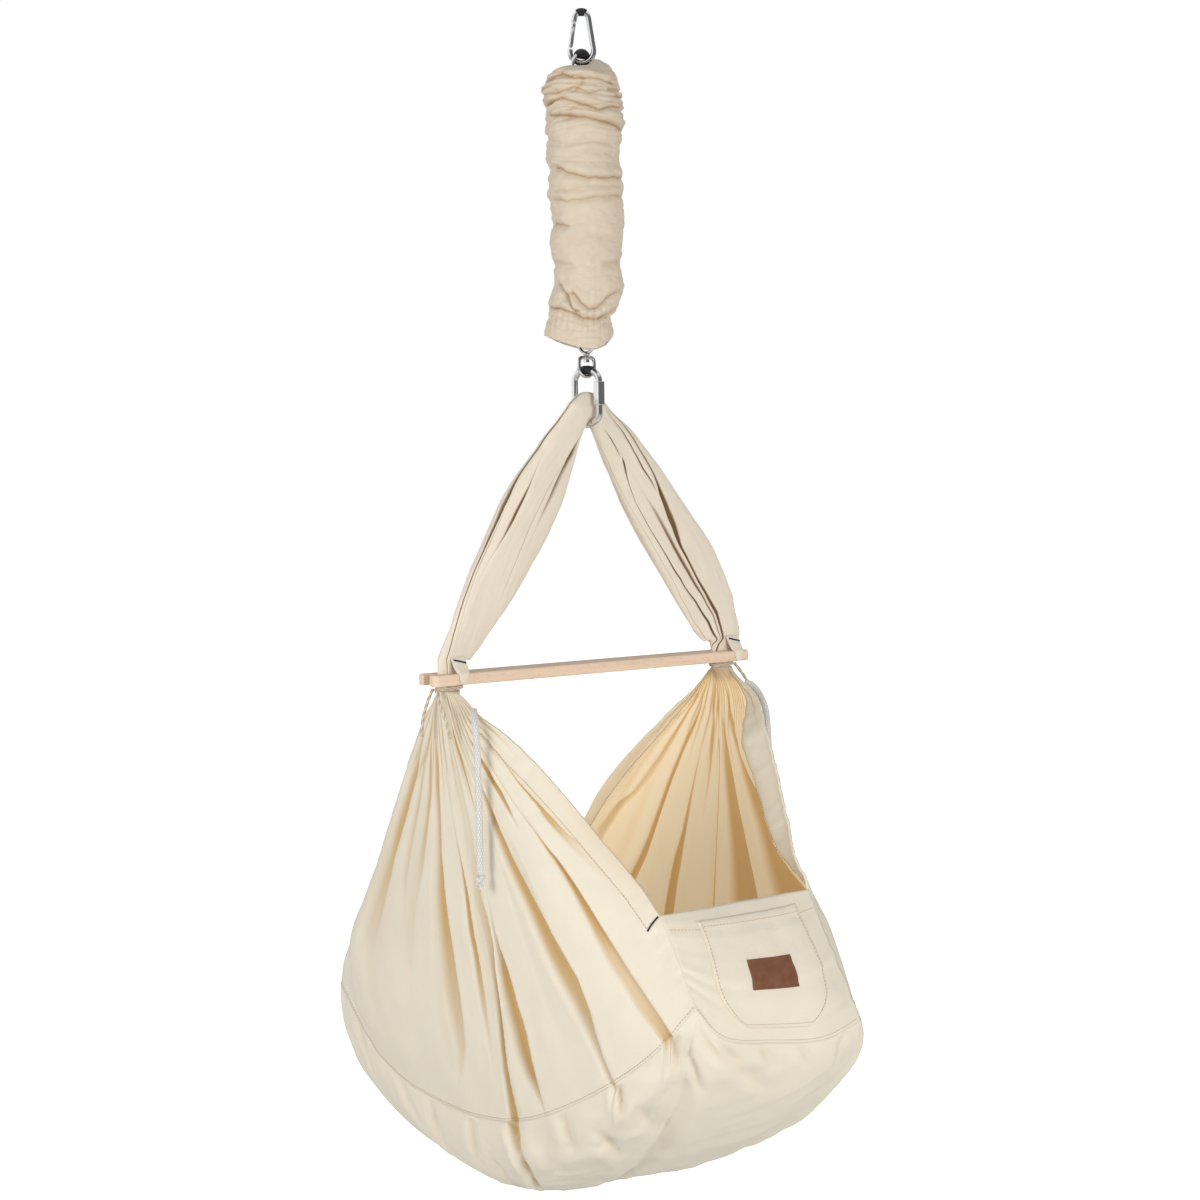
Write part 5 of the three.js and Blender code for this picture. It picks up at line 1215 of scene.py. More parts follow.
strap_cotton = cloth_material("natural_strap_cotton", (0.84, 0.745, 0.61, 1),
                              (0.2, 0.11, 0.05, 1), 0.0008)
strap_rows, strap_sides, ring_steps = 230, 200, 1440
for hand, side in both_sides:
    t = np.linspace(0, 1, strap_rows)
    centre, high, out, (outer_half, inner_half), thick = strap_frame(side, t)
    if hand == "left":
        outer_half = outer_half + 0.005 * between(0.1, 0.2, 0.42, 0.6, t)
        inner_half = inner_half + 0.007 * between(0.2, 0.4, 0.62, 0.8, t)
    else:
        outer_half = outer_half + 0.005 * between(0.1, 0.25, 0.6, 0.78, t)
    # Closed rings round the middle line, whose cos and sin are raised to 0.75, from the back
    turn = np.linspace(-np.pi / 2, np.pi * 1.5, ring_steps + 1)
    c, s = (np.sign(f(turn)) * np.abs(f(turn)) ** 0.75 for f in (np.cos, np.sin))
    half = np.where(c[None] > 0, outer_half[:, None], inner_half[:, None])
    rings = centre[:, None] + high[:, None] * (half * c)[..., None] \
        + out[:, None] * (thick[:, None] * s)[..., None]
    arc = np.linalg.norm(np.diff(rings, axis=1), axis=-1) * 1000
    arc = np.concatenate([np.zeros((strap_rows, 1)), np.cumsum(arc, axis=1)], axis=1)
    arc -= arc[:, [ring_steps // 4]]
    pleats = [along_fold(line, strap_units, t) for _, _, _, line in strap_pleats[hand]]
    bands = [(near, far) for near, far, _ in pleats]
    places = follow_folds(arc[:, 0], arc[:, -1], bands, 0.8, strap_sides, 0.3)[:, :-1]
    grid = rows_at(places, arc, rings)
    # The fold mark is painted shade in the pleats, as dark as listed
    fold, raised = np.zeros(places.shape), np.zeros(places.shape)
    for (depth, *blurs, _), band, (_, _, tan) in zip(strap_pleats[hand], bands, pleats):
        deep, dark, ridge = fold_shape(places, *band, *blurs)
        strength = np.clip(tan * 1.4, 0, 1)[:, None]
        raised += (0.0006 * ridge - depth / 1000 * deep) * strength
        fold = np.maximum(fold, dark * tan[:, None])
    run = run_along(centre)[:, None]
    raised += 0.0006 * value_noise(places / 11 + 17, run / 0.09, 31 + side)
    raised += 0.0003 * value_noise(places / 4 + 17, run / 0.03, 41 + side)
    facing_out = grid_normals(grid, closed=True)
    facing_out *= np.sign((facing_out * (grid - centre[:, None])).sum())
    fades = (ease(0, 0.03, t) * (1 - 0.6 * ease(0.9, 0.95, t)))[:, None]
    grid = grid + facing_out * (raised * fades)[..., None]
    quads, fans = loft_faces(strap_rows, strap_sides)
    points = np.concatenate([grid.reshape(-1, 3), grid[:1].mean(1), grid[-1:].mean(1)])
    strap = make_piece(f"{hand}_strap_band", points, quads, fans, strap_cotton, "cradle",
                       grid_uv(quads, strap_sides, lay_lengths(grid, closed=True)),
                       {"fold": np.append(np.clip(fold, 0, 1), [0, 0])})
    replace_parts(strap, f"{hand}_strap")

# Strap tabs
# Each strap's stitched end is folded over the near prong of the fork, down the bar's front, and
# held there by a short dark bar tack.
tab_width, tab_cloth, tab_reach = 0.022, 0.002, 0.014
bar_tack_half, bar_tack_radius = 0.0085, 0.0011
tab_shift = {"left": 0.009, "right": 0.013}
neck_half = slot_half - 2 * touch_gap
prong = (bar_width - 2 * slot_half) / 2
tab_profile = np.array([
    [neck_half + touch_gap + tab_cloth * 0.4, bar_top + bar_thickness * 1.3],
    [neck_half + prong * 0.45, bar_top + bar_thickness * 0.7],
    [bar_width / 2 - bar_corner * 0.3, bar_top + touch_gap * 2 + tab_cloth * 0.4],
    [bar_width / 2 + touch_gap, bar_top - bar_thickness * 0.08],
    [bar_width / 2 + touch_gap, bar_top - tab_reach]])


def thread_material(name, colour, roughness):
    """Thread: one even colour."""
    material, tree, shader = new_material(name)
    fill_sockets(tree, shader, {"Base Color": colour, "Roughness": roughness})
    return material


tack_thread = thread_material("navy_tack_thread", (0.024, 0.018, 0.055, 1), 0.7)
tab_rows, tab_columns = 56, 34
for hand, side in both_sides:
    middle = side * neck_x + tab_shift[hand]
    share = np.linspace(0, 1, tab_rows)
    profile = curve_through(tab_profile, share)
    half = np.interp(share, [0, 0.3, 0.55, 0.8, 0.93, 1], [1, 1, 0.86, 0.66, 0.55, 0.25])
    k = np.linspace(-1, 1, tab_columns)
    base = np.stack([middle + (half * tab_width / 2)[:, None] * k,
                     np.broadcast_to(-profile[:, :1], (tab_rows, tab_columns)),
                     np.broadcast_to(profile[:, 1:], (tab_rows, tab_columns))], -1)
    slope = np.gradient(profile, axis=0)
    out = unit(np.stack([0 * slope[:, 0], slope[:, 1], slope[:, 0]], -1))[:, None]
    out = out * np.ones((1, tab_columns, 1))
    out *= np.where(out[..., 1:2] > 0, -1, 1)
    edge = 1 - 0.75 * np.abs(k)[None] ** 8
    wave = 0.0004 * value_noise(base[..., 0] / 0.004, base[..., 2] / 0.006, 51)
    outer = base + out * (0.0003 + (tab_cloth + wave) * edge)[..., None]
    # The fold mark paints shade on the tab, darker towards its side edges
    tab = make_skin(f"{hand}_tab_flap", outer, base + out * 0.0002, lay_lengths(outer),
                    strap_cotton, "cradle",
                    {"fold": 0.25 * np.abs(k)[None] ** 6 * np.ones((tab_rows, 1))})
    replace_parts(tab, f"{hand}_tab")
    # The tack runs slantwise over the tab's upper end
    across = np.linspace(-1, 1, 90)
    row = 5 + 3.5 * (across + 1)
    column = np.clip((across * bar_tack_half / (tab_width / 2) + 1) / 2, 0, 1) * (tab_columns - 1)
    i, j = row.astype(int), column.astype(int)
    path = outer[i, j] + (row - i)[:, None] * (outer[i + 1, j] - outer[i, j])
    path += (column - j)[:, None] * (outer[i, np.minimum(j + 1, tab_columns - 1)] - outer[i, j])
    path += out[i, 0] * bar_tack_radius * 0.5
    satin = bar_tack_radius * (1 + 0.1 * np.abs(np.sin(across * 60)))
    make_tube(f"{hand}_bar_tack", tube_grid(path, satin, 12, out[0, 0]), tack_thread, "cradle")

# Side walls
# Each is a fan of unbleached canvas, pleated tight into its gather and sewn to the base along
# its foot. Its free edges are wide hems, which a drawcord runs through.
bag_half_width, bag_half_length, bag_depth = 0.185, 0.4, 0.719
gather_width, gather_thickness = 0.034, 0.027
wall_cloth, hem_cloth = 0.0022, 0.0044
wall_top = neck_foot - touch_gap
# The seam's points, then how far the points of each inner row stand off the straight lines to
# them, as shares of the bag's half width, half length and depth
seam_shares = {
    "left": [[0.64, -0.925, 0.532], [0.84, -0.8, 0.627], [0.95, -0.5, 0.734], [0.995, -0.155, 0.81],
             [1, 0.25, 0.831], [1.01, 0.65, 0.795], [1.02, 0.955, 0.67]],
    "right": [[0.855, -0.915, 0.616], [0.985, -0.825, 0.67], [0.99, -0.5, 0.74],
              [0.995, -0.155, 0.81], [1, 0.25, 0.831], [1.01, 0.65, 0.795], [1, 0.945, 0.66]],
}
middle_swell = [
    [[0.03, -0.02, 0], [0.06, -0.035, 0], [0.05, -0.025, 0]],
    [[0.03, -0.01, 0], [0.065, -0.02, 0], [0.065, -0.015, 0]],
    [[0.03, 0, 0], [0.075, 0, 0], [0.075, 0, 0]],
    [[0.03, 0.04, 0], [0.075, 0.08, 0], [0.075, 0.08, 0]],
    [[-0.03, 0.115, -0.03], [0, 0.21, -0.03], [0.035, 0.24, -0.035]]]
swell_shares = {
    "left": [[[-0.03, -0.068, -0.037], [-0.12, -0.08, -0.022], [-0.15, -0.03, -0.026]],
             *middle_swell,
             [[-0.155, -0.026, -0.063], [-0.245, 0.007, -0.041], [-0.16, 0.062, -0.017]]],
    "right": [[[-0.1, -0.088, -0.052], [-0.23, -0.118, -0.047], [-0.29, -0.045, -0.094]],
              [[0, -0.01, 0], [0.01, -0.015, 0], [0.04, -0.02, 0]], *middle_swell[1:],
              [[-0.125, 0.01, -0.042], [-0.21, 0.075, -0.041], [-0.16, 0.06, -0.017]]],
}
row_shares = [0, 0.25, 0.5, 0.77, 1]
# Rows above the end panels' tops, where the hems are free, and rows below, sewn to the panels
wall_columns, free_rows, sewn_rows = 276, 122, 50
hem_width = 0.027
near_hem_turn, near_hem_shift, far_swell = 0.026, 0.01, 0.01
# Folds, from the front edge to the back one: depth and the blur of the near and the far side in
# millimetres, then along each fold the height v and its near and far edge u in thousandths, and
# how tan its painted shade is in hundredths
wall_units = (1000, 1000, 1000, 100)
wall_folds = {
    "left": [
        (4, 1, 3, [(0, 70, 76, 0), (100, 75, 80, 60), (140, 75, 81, 90), (260, 80, 86, 100),
            (300, 80, 88, 110), (360, 69, 81, 95), (410, 61, 81, 85), (450, 56, 75, 60),
            (500, 44, 67, 30), (630, 36, 47, 15), (750, 30, 36, 0), (1000, 30, 36, 0)]),
        (8, 1, 5, [(0, 125, 135, 0), (100, 130, 140, 20), (180, 138, 144, 40), (250, 136, 144, 70),
            (330, 132, 138, 70), (420, 118, 126, 90), (460, 114, 125, 100), (500, 108, 122, 100),
            (560, 106, 122, 100), (670, 107, 131, 90), (720, 107, 134, 75), (760, 107, 136, 60),
            (820, 104, 133, 55), (890, 97, 131, 55), (950, 89, 122, 60), (1000, 83, 113, 75)]),
        (8, 1, 4, [(0, 160, 168, 0), (100, 162, 170, 50), (170, 160, 180, 100),
            (200, 154, 186, 100), (250, 156, 186, 100), (290, 152, 179, 90), (330, 158, 175, 60),
            (380, 164, 171, 0), (1000, 164, 171, 0)]),
        (12, 1.5, 13, [(0, 235, 245, 0), (120, 250, 262, 40), (200, 256, 270, 70),
            (250, 254, 278, 90), (270, 250, 286, 100), (320, 244, 292, 100), (430, 242, 290, 100),
            (490, 236, 284, 100), (540, 231, 277, 100), (600, 223, 273, 95), (650, 219, 272, 90),
            (700, 214, 270, 85), (750, 210, 266, 80), (830, 220, 260, 70), (880, 232, 258, 60),
            (940, 242, 257, 60), (1000, 245, 256, 90)]),
        (4, 2, 4, [(0, 330, 340, 0), (60, 335, 345, 120), (100, 330, 360, 120),
            (140, 335, 365, 110), (200, 345, 368, 90), (280, 355, 370, 50), (340, 360, 370, 0),
            (1000, 360, 370, 0)]),
        (13, 1, 9, [(0, 380, 388, 0), (400, 397, 404, 0), (520, 404, 410, 30), (556, 405, 413, 80),
            (600, 402, 419, 100), (650, 394, 431, 110), (700, 392, 437, 110), (800, 392, 442, 110),
            (850, 400, 443, 110), (900, 406, 439, 110), (935, 408, 428, 100), (975, 411, 418, 60),
            (1000, 412, 418, 0)]),
        (9, 2, 4, [(0, 410, 420, 0), (150, 415, 435, 25), (350, 420, 450, 30), (490, 431, 474, 50),
            (525, 424, 464, 60), (590, 424, 455, 65), (630, 430, 456, 80), (670, 439, 459, 100),
            (720, 447, 464, 100), (770, 456, 471, 100), (820, 464, 481, 100), (870, 471, 489, 100),
            (920, 477, 496, 100), (1000, 482, 507, 100)]),
        (6, 1, 4, [(0, 560, 570, 0), (80, 565, 574, 80), (150, 562, 570, 80), (220, 540, 547, 80),
            (290, 527, 534, 80), (370, 507, 517, 85), (410, 498, 511, 95), (460, 492, 510, 100),
            (560, 490, 511, 100), (610, 487, 507, 90), (680, 489, 511, 65), (750, 494, 511, 40),
            (810, 500, 513, 20), (890, 511, 518, 0), (1000, 517, 524, 0)]),
        (10, 1, 14, [(0, 620, 630, 0), (50, 625, 640, 80), (90, 622, 650, 85), (160, 608, 652, 85),
            (230, 606, 648, 90), (270, 602, 638, 95), (320, 594, 628, 100), (380, 588, 622, 100),
            (410, 581, 622, 100), (480, 573, 622, 100), (540, 568, 619, 90), (600, 562, 617, 75),
            (700, 558, 611, 60), (770, 561, 605, 50), (830, 570, 603, 40), (880, 590, 610, 30),
            (930, 612, 620, 0), (1000, 613, 621, 0)]),
        (6, 3, 9, [(0, 680, 690, 0), (50, 685, 700, 70), (130, 674, 704, 70), (180, 666, 700, 80),
            (240, 662, 695, 75), (360, 661, 697, 60), (430, 660, 698, 40), (480, 672, 702, 25),
            (540, 685, 703, 10), (600, 690, 700, 0), (1000, 690, 700, 0)]),
        (6, 3, 12, [(0, 730, 738, 0), (100, 720, 738, 60), (200, 716, 742, 65), (330, 714, 742, 55),
            (480, 713, 743, 35), (530, 711, 738, 20), (590, 711, 728, 10), (650, 712, 724, 0),
            (1000, 712, 724, 0)]),
        (13, 6, 16, [(0, 780, 790, 0), (80, 770, 790, 70), (150, 762, 800, 80), (220, 757, 806, 85),
            (320, 757, 810, 90), (390, 758, 811, 90), (460, 762, 812, 75), (530, 766, 820, 60),
            (600, 767, 822, 45), (680, 769, 825, 30), (730, 771, 824, 15), (800, 777, 815, 0),
            (1000, 790, 810, 0)]),
        (9, 3, 12, [(0, 850, 860, 0), (100, 860, 880, 70), (300, 870, 900, 80), (600, 870, 900, 50),
            (850, 880, 900, 0), (1000, 880, 900, 0)]),
        (5, 2, 6, [(0, 930, 935, 0), (100, 925, 935, 70), (300, 925, 940, 80), (600, 935, 950, 50),
            (800, 940, 950, 0), (1000, 940, 950, 0)]),
    ],
    "right": [
        (7, 12, 12, [(0, 100, 110, 0), (100, 120, 160, 50), (300, 100, 130, 40), (600, 90, 120, 20),
            (750, 90, 110, 0), (1000, 90, 110, 0)]),
        (12, 8, 16, [(0, 460, 470, 0), (50, 450, 490, 80), (90, 430, 492, 100),
            (140, 380, 470, 100), (200, 320, 431, 100), (300, 270, 417, 100), (410, 220, 400, 100),
            (520, 190, 389, 100), (590, 170, 372, 100), (750, 170, 370, 80), (950, 200, 370, 0),
            (1000, 200, 370, 0)]),
        (10, 12, 9, [(0, 550, 560, 0), (60, 545, 562, 70), (120, 540, 561, 90),
            (160, 519, 560, 100), (230, 494, 558, 100), (270, 478, 556, 100), (350, 464, 543, 100),
            (440, 447, 534, 100), (520, 428, 531, 100), (590, 414, 528, 100), (750, 400, 520, 80),
            (950, 400, 520, 0), (1000, 400, 520, 0)]),
        (6, 3, 1, [(0, 620, 630, 0), (50, 615, 630, 90), (90, 610, 627, 100), (160, 594, 606, 100),
            (200, 578, 587, 100), (260, 572, 580, 90), (440, 571, 578, 80), (600, 568, 576, 80),
            (800, 568, 576, 40), (1000, 568, 576, 0)]),
        (7, 2, 7, [(0, 685, 700, 0), (50, 680, 700, 110), (100, 670, 700, 110),
            (140, 646, 681, 100), (190, 636, 669, 85), (260, 628, 652, 65), (330, 626, 642, 50),
            (380, 625, 637, 30), (420, 627, 636, 0), (1000, 630, 640, 0)]),
        (9, 8, 1, [(0, 712, 717, 0), (90, 712, 718, 70), (150, 690, 696, 80), (220, 688, 694, 90),
            (250, 685, 695, 100), (330, 682, 695, 100), (390, 677, 693, 100), (440, 675, 693, 100),
            (500, 673, 697, 100), (580, 671, 697, 100), (650, 669, 694, 100), (800, 665, 690, 60),
            (950, 665, 690, 0), (1000, 665, 690, 0)]),
        (9, 2, 2, [(0, 785, 790, 0), (50, 785, 793, 80), (100, 780, 792, 90), (130, 762, 776, 100),
            (170, 753, 769, 110), (220, 752, 767, 110), (400, 752, 766, 110), (470, 752, 767, 110),
            (540, 753, 770, 100), (630, 761, 778, 100), (800, 760, 775, 60), (950, 760, 775, 0),
            (1000, 760, 775, 0)]),
        (9, 9, 3, [(0, 865, 870, 0), (50, 862, 872, 90), (90, 845, 868, 100), (120, 825, 852, 90),
            (180, 804, 832, 85), (240, 800, 829, 70), (290, 801, 832, 60), (360, 811, 844, 50),
            (420, 833, 860, 50), (470, 858, 900, 50), (560, 869, 920, 40), (750, 880, 920, 0),
            (1000, 880, 920, 0)]),
    ],
}


def wall_plain(side, u, v):
    """The wall without its folds: seven curves from the gather to the seam, through a point off
    the straight line at each inner row, and a curve through their points across each row."""
    hand = "left" if side < 0 else "right"
    half = np.array([side * bag_half_width, bag_half_length, -bag_depth])
    start = np.stack([np.full(7, side * (neck_x + gather_thickness / 2)),
                      (np.arange(7) / 6 - 0.5) * gather_width, np.full(7, wall_top)], -1)
    end = np.array(seam_shares[hand]) * half + np.array([0, 0, -bar_drop])
    inner = np.array(row_shares[1:4])[None, :, None]
    knots = start[:, None] + (end - start)[:, None] * inner + np.array(swell_shares[hand]) * half
    knots = np.concatenate([start[:, None], knots, end[:, None]], axis=1)
    place = np.interp(v, row_shares, np.arange(5) / 4)
    columns = curve_through(knots.transpose(1, 0, 2), place)
    return curve_through(columns.transpose(1, 0, 2), u).transpose(1, 0, 2)


def seam_out(points):
    """The sideways direction out of the bag at its seam."""
    reach = bag_half_length * 0.55
    y = points[..., 1] - np.clip(points[..., 1], -reach, reach)
    return unit(np.stack([points[..., 0] / bag_half_width, y * 1.6 / (bag_half_length - reach),
                          0 * y], -1))


def stitches(name, lines):
    """Rows of thread stitches as one piece. Each line is a path with the direction out of the
    cloth at each point, and each stitch is a short five-sided bead that bows out of it."""
    beads = []
    ring = np.arange(5) / 5 * 2 * np.pi
    bead_quads, bead_fans = loft_faces(5, 5)
    for path, out in lines:
        run = run_along(path)
        starts = np.arange(stitch_gap, run[-1] - stitch_length, stitch_length + stitch_gap)
        place = (starts[:, None] + np.linspace(0, stitch_length, 5)).ravel()
        line, away = points_at(place, run, path), unit(points_at(place, run, out))
        along = unit(np.gradient(line.reshape(-1, 5, 3), axis=1)).reshape(-1, 3)
        side = unit(np.cross(along, away))
        rise = np.tile(np.sin(np.linspace(0, np.pi, 5)), len(starts))
        radius = thread_radius * (0.45 + 0.55 * rise)
        line = line + away * (thread_radius * (0.2 + 0.8 * rise))[:, None]
        rings = line[:, None] + radius[:, None, None] * (side[:, None] * np.cos(ring)[:, None]
                                                         + away[:, None] * np.sin(ring)[:, None])
        rings = rings.reshape(-1, 5, 5, 3)
        beads.append(np.concatenate([rings.reshape(-1, 25, 3), rings[:, 0].mean(1)[:, None],
                                     rings[:, -1].mean(1)[:, None]], axis=1))
    beads = np.concatenate(beads)
    first = (np.arange(len(beads)) * 27)[:, None, None]
    return make_piece(name, beads.reshape(-1, 3), (bead_quads[None] + first).reshape(-1, 4),
                      (bead_fans[None] + first).reshape(-1, 3), seam_thread, "cradle")


stitch_length, stitch_gap, thread_radius = 0.0034, 0.0014, 0.00042
seam_thread = thread_material("tan_seam_thread", (0.46, 0.3, 0.17, 1), 0.8)
# Its warm tone is a painted glow, set where the warm mark is, on the walls' inner faces
canvas_cotton = cloth_material("unbleached_canvas", (0.84, 0.765, 0.625, 1),
                               (0.6, 0.39, 0.16, 1), 0.0009, painted_glow_tone=(0.84, 0.71, 0.5, 1))
wall_v = np.concatenate([
    np.linspace(0, 1, free_rows, endpoint=False) ** 1.15 * row_shares[3],
    np.linspace(row_shares[3], 1, sewn_rows + 1)])
dense_u = np.linspace(0, 1, 1601)
wall_outer, wall_seam, wall_seam_fold = {}, {}, {}
for hand, side in both_sides:
    v = wall_v[:, None]
    dense = wall_plain(side, dense_u, wall_v)
    dense_run = np.linalg.norm(np.diff(dense, axis=1), axis=-1)
    length = dense_run.sum(axis=1)[:, None]
    if side > 0:
        # The near hem turns its face to the front left
        from_near = np.concatenate([0 * length, np.cumsum(dense_run, axis=1)], axis=1)
        pulled = near_hem_turn * between(0.04, 0.28, 0.5, 0.77, v) \
            * between(0, 0.032, 0.032, 0.14, from_near)
        pulled += near_hem_shift * between(0.1, 0.3, 0.6, 0.76, v) \
            * (1 - ease(0.05, 0.2, from_near))
        dense = dense - to_right * pulled[..., None]
    else:
        # The far part swells a little over the seam
        swell = between(0.6, 0.8, 0.9, 1, v) * ease(0.55, 0.8, dense_u)
        dense = dense - np.array([1, 0, 0]) * (far_swell * swell)[..., None]
    lines = [along_fold(line, wall_units, wall_v) for _, _, _, line in wall_folds[hand]]
    bands = [(near, far) for near, far, _ in lines]
    u = follow_folds(0 * wall_v, 0 * wall_v + 1, bands, 0.002 / length[:, 0], wall_columns, 0.006)
    known = np.broadcast_to(dense_u, (len(wall_v), len(dense_u)))
    plain, normal = rows_at(u, known, dense), rows_at(u, known, grid_normals(dense))
    normal *= np.where(normal[..., :1] * side < 0, -1, 1)
    share = ease(0, 0.2, v)[..., None]
    out = unit(np.array([side, 0, 0]) * (1 - share) + normal * share)
    share = ease(0.5, 0.76, v)[..., None]
    out = unit(out * (1 - share) + seam_out(plain) * share)
    lay = lay_lengths(plain)
    # The gather is an oval bundle, and the cloth leaves it in fine pleats with painted shade in
    # their valleys
    turn = (u - 0.5) * np.pi
    bundle = 1 - ease(0, 0.14, v)
    plain[..., 0] += side * bundle * gather_thickness / 2 * (np.cos(turn) - 1)
    plain[..., 1] += bundle * gather_width / 2 * (np.sin(turn) - (2 * u - 1))
    fine = np.abs(np.sin(np.pi * (23 * u + 0.9 * value_noise(u * 9, v * 3, 61 + side))))
    raised = 0.0026 * fine * (1 - ease(0.06, 0.34, v)) * ease(-0.01, 0.03, v)
    fold = (1 - fine) ** 1.5 * (1 - ease(0.06, 0.34, v))
    # A fold is a valley as the viewer sees it: outside on the left wall, inside on the right. Each
    # fold also gets painted shade, as tan as listed.
    widened = -side * (length / length.max()) ** 0.8
    blur = 0.25 + 0.75 * ease(0, 0.5, v)
    to_mm = length[:, 0] * 1000
    for (depth, *blurs, _), (near, far), (_, _, tan) in zip(wall_folds[hand], bands, lines):
        deep, dark, ridge = fold_shape(u * length * 1000, near * to_mm, far * to_mm,
                                       *(side_blur * blur for side_blur in blurs))
        strength = np.clip(tan * 1.4, 0, 1)[:, None]
        raised = raised + (0.0016 * ridge - depth / 1000 * deep) * strength * widened
        fold = np.maximum(fold, dark * np.clip(tan, 0, 1.2)[:, None])
    # Soft unnamed folds fan out between the drawn ones, with a little painted shade in them
    soft = np.clip(value_noise(u * 26 + 3, v * 1.9 + 5, 141 + side), 0, 1) ** 1.3
    soft = soft * between(0.04, 0.2, 0.8, 1, v)
    raised = raised - 0.004 * soft * widened
    fold = np.maximum(fold, 0.34 * soft)
    crumple = value_noise(lay[..., 0] / 0.05, lay[..., 1] / 0.14, 81 + side)
    crumple += 0.45 * value_noise(lay[..., 0] / 0.02 + 9, lay[..., 1] / 0.05, 91 + side)
    raised = raised + 0.0013 * crumple * ease(0.05, 0.3, v)
    # The hems: a doubled edge, puckered along its stitching, with painted shade along the stitched
    # line
    hem_line = np.minimum(hem_width / length, 0.078)
    from_edge = np.minimum(u, 1 - u)
    sewn = 1 - ease(0.72, 0.8, v)
    in_hem = ease(hem_line * 1.04, hem_line * 0.98, from_edge) * sewn
    pucker = value_noise(lay[..., 1] / 0.008, from_edge * length / 0.02, 101 + side)
    pucker = pucker * ease(hem_line * 2.4, hem_line, from_edge) * ease(0, 0.1, v)
    raised = raised + 0.0012 * in_hem + 0.0011 * pucker
    stitched = crease((from_edge - hem_line) * length, 0.0012, 0.0012, 0.0005)
    fold = np.maximum(fold, 0.3 * stitched * sewn * ease(0.03, 0.08, v))
    outer = plain + out * raised[..., None]
    hem = in_hem * (hem_cloth - wall_cloth)
    thick = wall_cloth + hem + (gather_thickness * np.cos(turn) - wall_cloth) * np.exp(-v / 0.05)
    inner = outer - out * np.maximum(thick, 0.0012)[..., None]
    # Painted glow over the inner face: none in the near hem, half in the far one, and none at the
    # gather
    painted_glow_inside = (1 - in_hem * np.where(u < 0.5, 1, 0.5)) * ease(0, 0.05, v)
    # The painted fold shade is full on the face where the folds are valleys to the viewer, outside
    # on the left wall and inside on the right, and weaker on the other face
    faces = (1, 0.6) if side < 0 else (0.35, 1)
    marks = {"fold": tuple(np.clip(fold * share, 0, 1) for share in faces),
             "painted_glow": (0 * painted_glow_inside, painted_glow_inside)}
    wall = make_skin(f"{hand}_wall_canvas", outer, inner, lay, canvas_cotton, "cradle",
                     marks)
    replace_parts(wall, f"{hand}_side_wall")
    wall_outer[hand], wall_seam[hand], wall_seam_fold[hand] = outer, plain[-1], marks["fold"][0][-1]
    # Thread along both hems, on both faces, and along the seam
    rows = slice(4, np.sum(wall_v < 0.79))
    lines = [[rows_at(edge[rows], u[rows], grid[rows])[:, 0] for grid in pair]
             for edge in (hem_line * 0.97, 1 - hem_line * 0.97)
             for pair in ((outer, out), (inner, -out))]
    lines.append([outer[-2] * 0.6 + outer[-3] * 0.4, out[-2]])
    stitches(f"{hand}_wall_stitching", lines)
    if side < 0:
        # A bar tack across the near hem at the end panel's corner
        share = np.linspace(0.05, 1, 24)
        row = free_rows + 1.5 * share ** 2
        i = row.astype(int)
        on_hem = [rows_at(share[:, None] * hem_line[rows], u[rows], grid[rows])[:, 0]
                  for grid in (outer, out) for rows in (i, i + 1)]
        path = on_hem[0] + (row - i)[:, None] * (on_hem[1] - on_hem[0])
        path += unit(on_hem[2]) * bar_tack_radius * 0.6
        make_tube(f"{hand}_corner_tack", tube_grid(path, bar_tack_radius, 10, on_hem[2][0]),
                  tack_thread, "cradle")

# End panels
# A panel of the same canvas closes each end between the side walls' hems, with a hem along its
# top. The back one stands lower.
panel_belly, panel_columns, panel_hem = 0.026, 60, 0.15


def end_panel(out, dips):
    """A Coons patch: between the walls' edges across, between the top and the seam down, less
    the flat patch through the corners, with a belly of 16 a (1 - a) b (1 - b)."""
    left_edge, right_edge = (wall_outer[hand][free_rows:, 0 if out < 0 else -1]
                             for hand in ("left", "right"))
    dips = np.array(dips) * np.array([bag_half_width, bag_half_length, -bag_depth])
    dips = dips + np.array([0, 0, -bar_drop])
    seam = curve_through(np.concatenate([left_edge[-1:], dips, right_edge[-1:]]), panel_a)
    foot = left_edge[-1] + (right_edge[-1] - left_edge[-1]) * panel_a[:, None]
    across = left_edge[:, None] + (right_edge - left_edge)[:, None] * panel_a[None, :, None]
    grid = across + (seam - foot)[None] * panel_b[..., None]
    middle = panel_a * (1 - panel_a)
    grid[..., 1] += out * panel_belly * 16 * middle * panel_b * (1 - panel_b)
    if out > 0:
        grid[..., 2] -= bag_depth * 0.02 * 4 * middle * (1 - panel_b)
    return grid


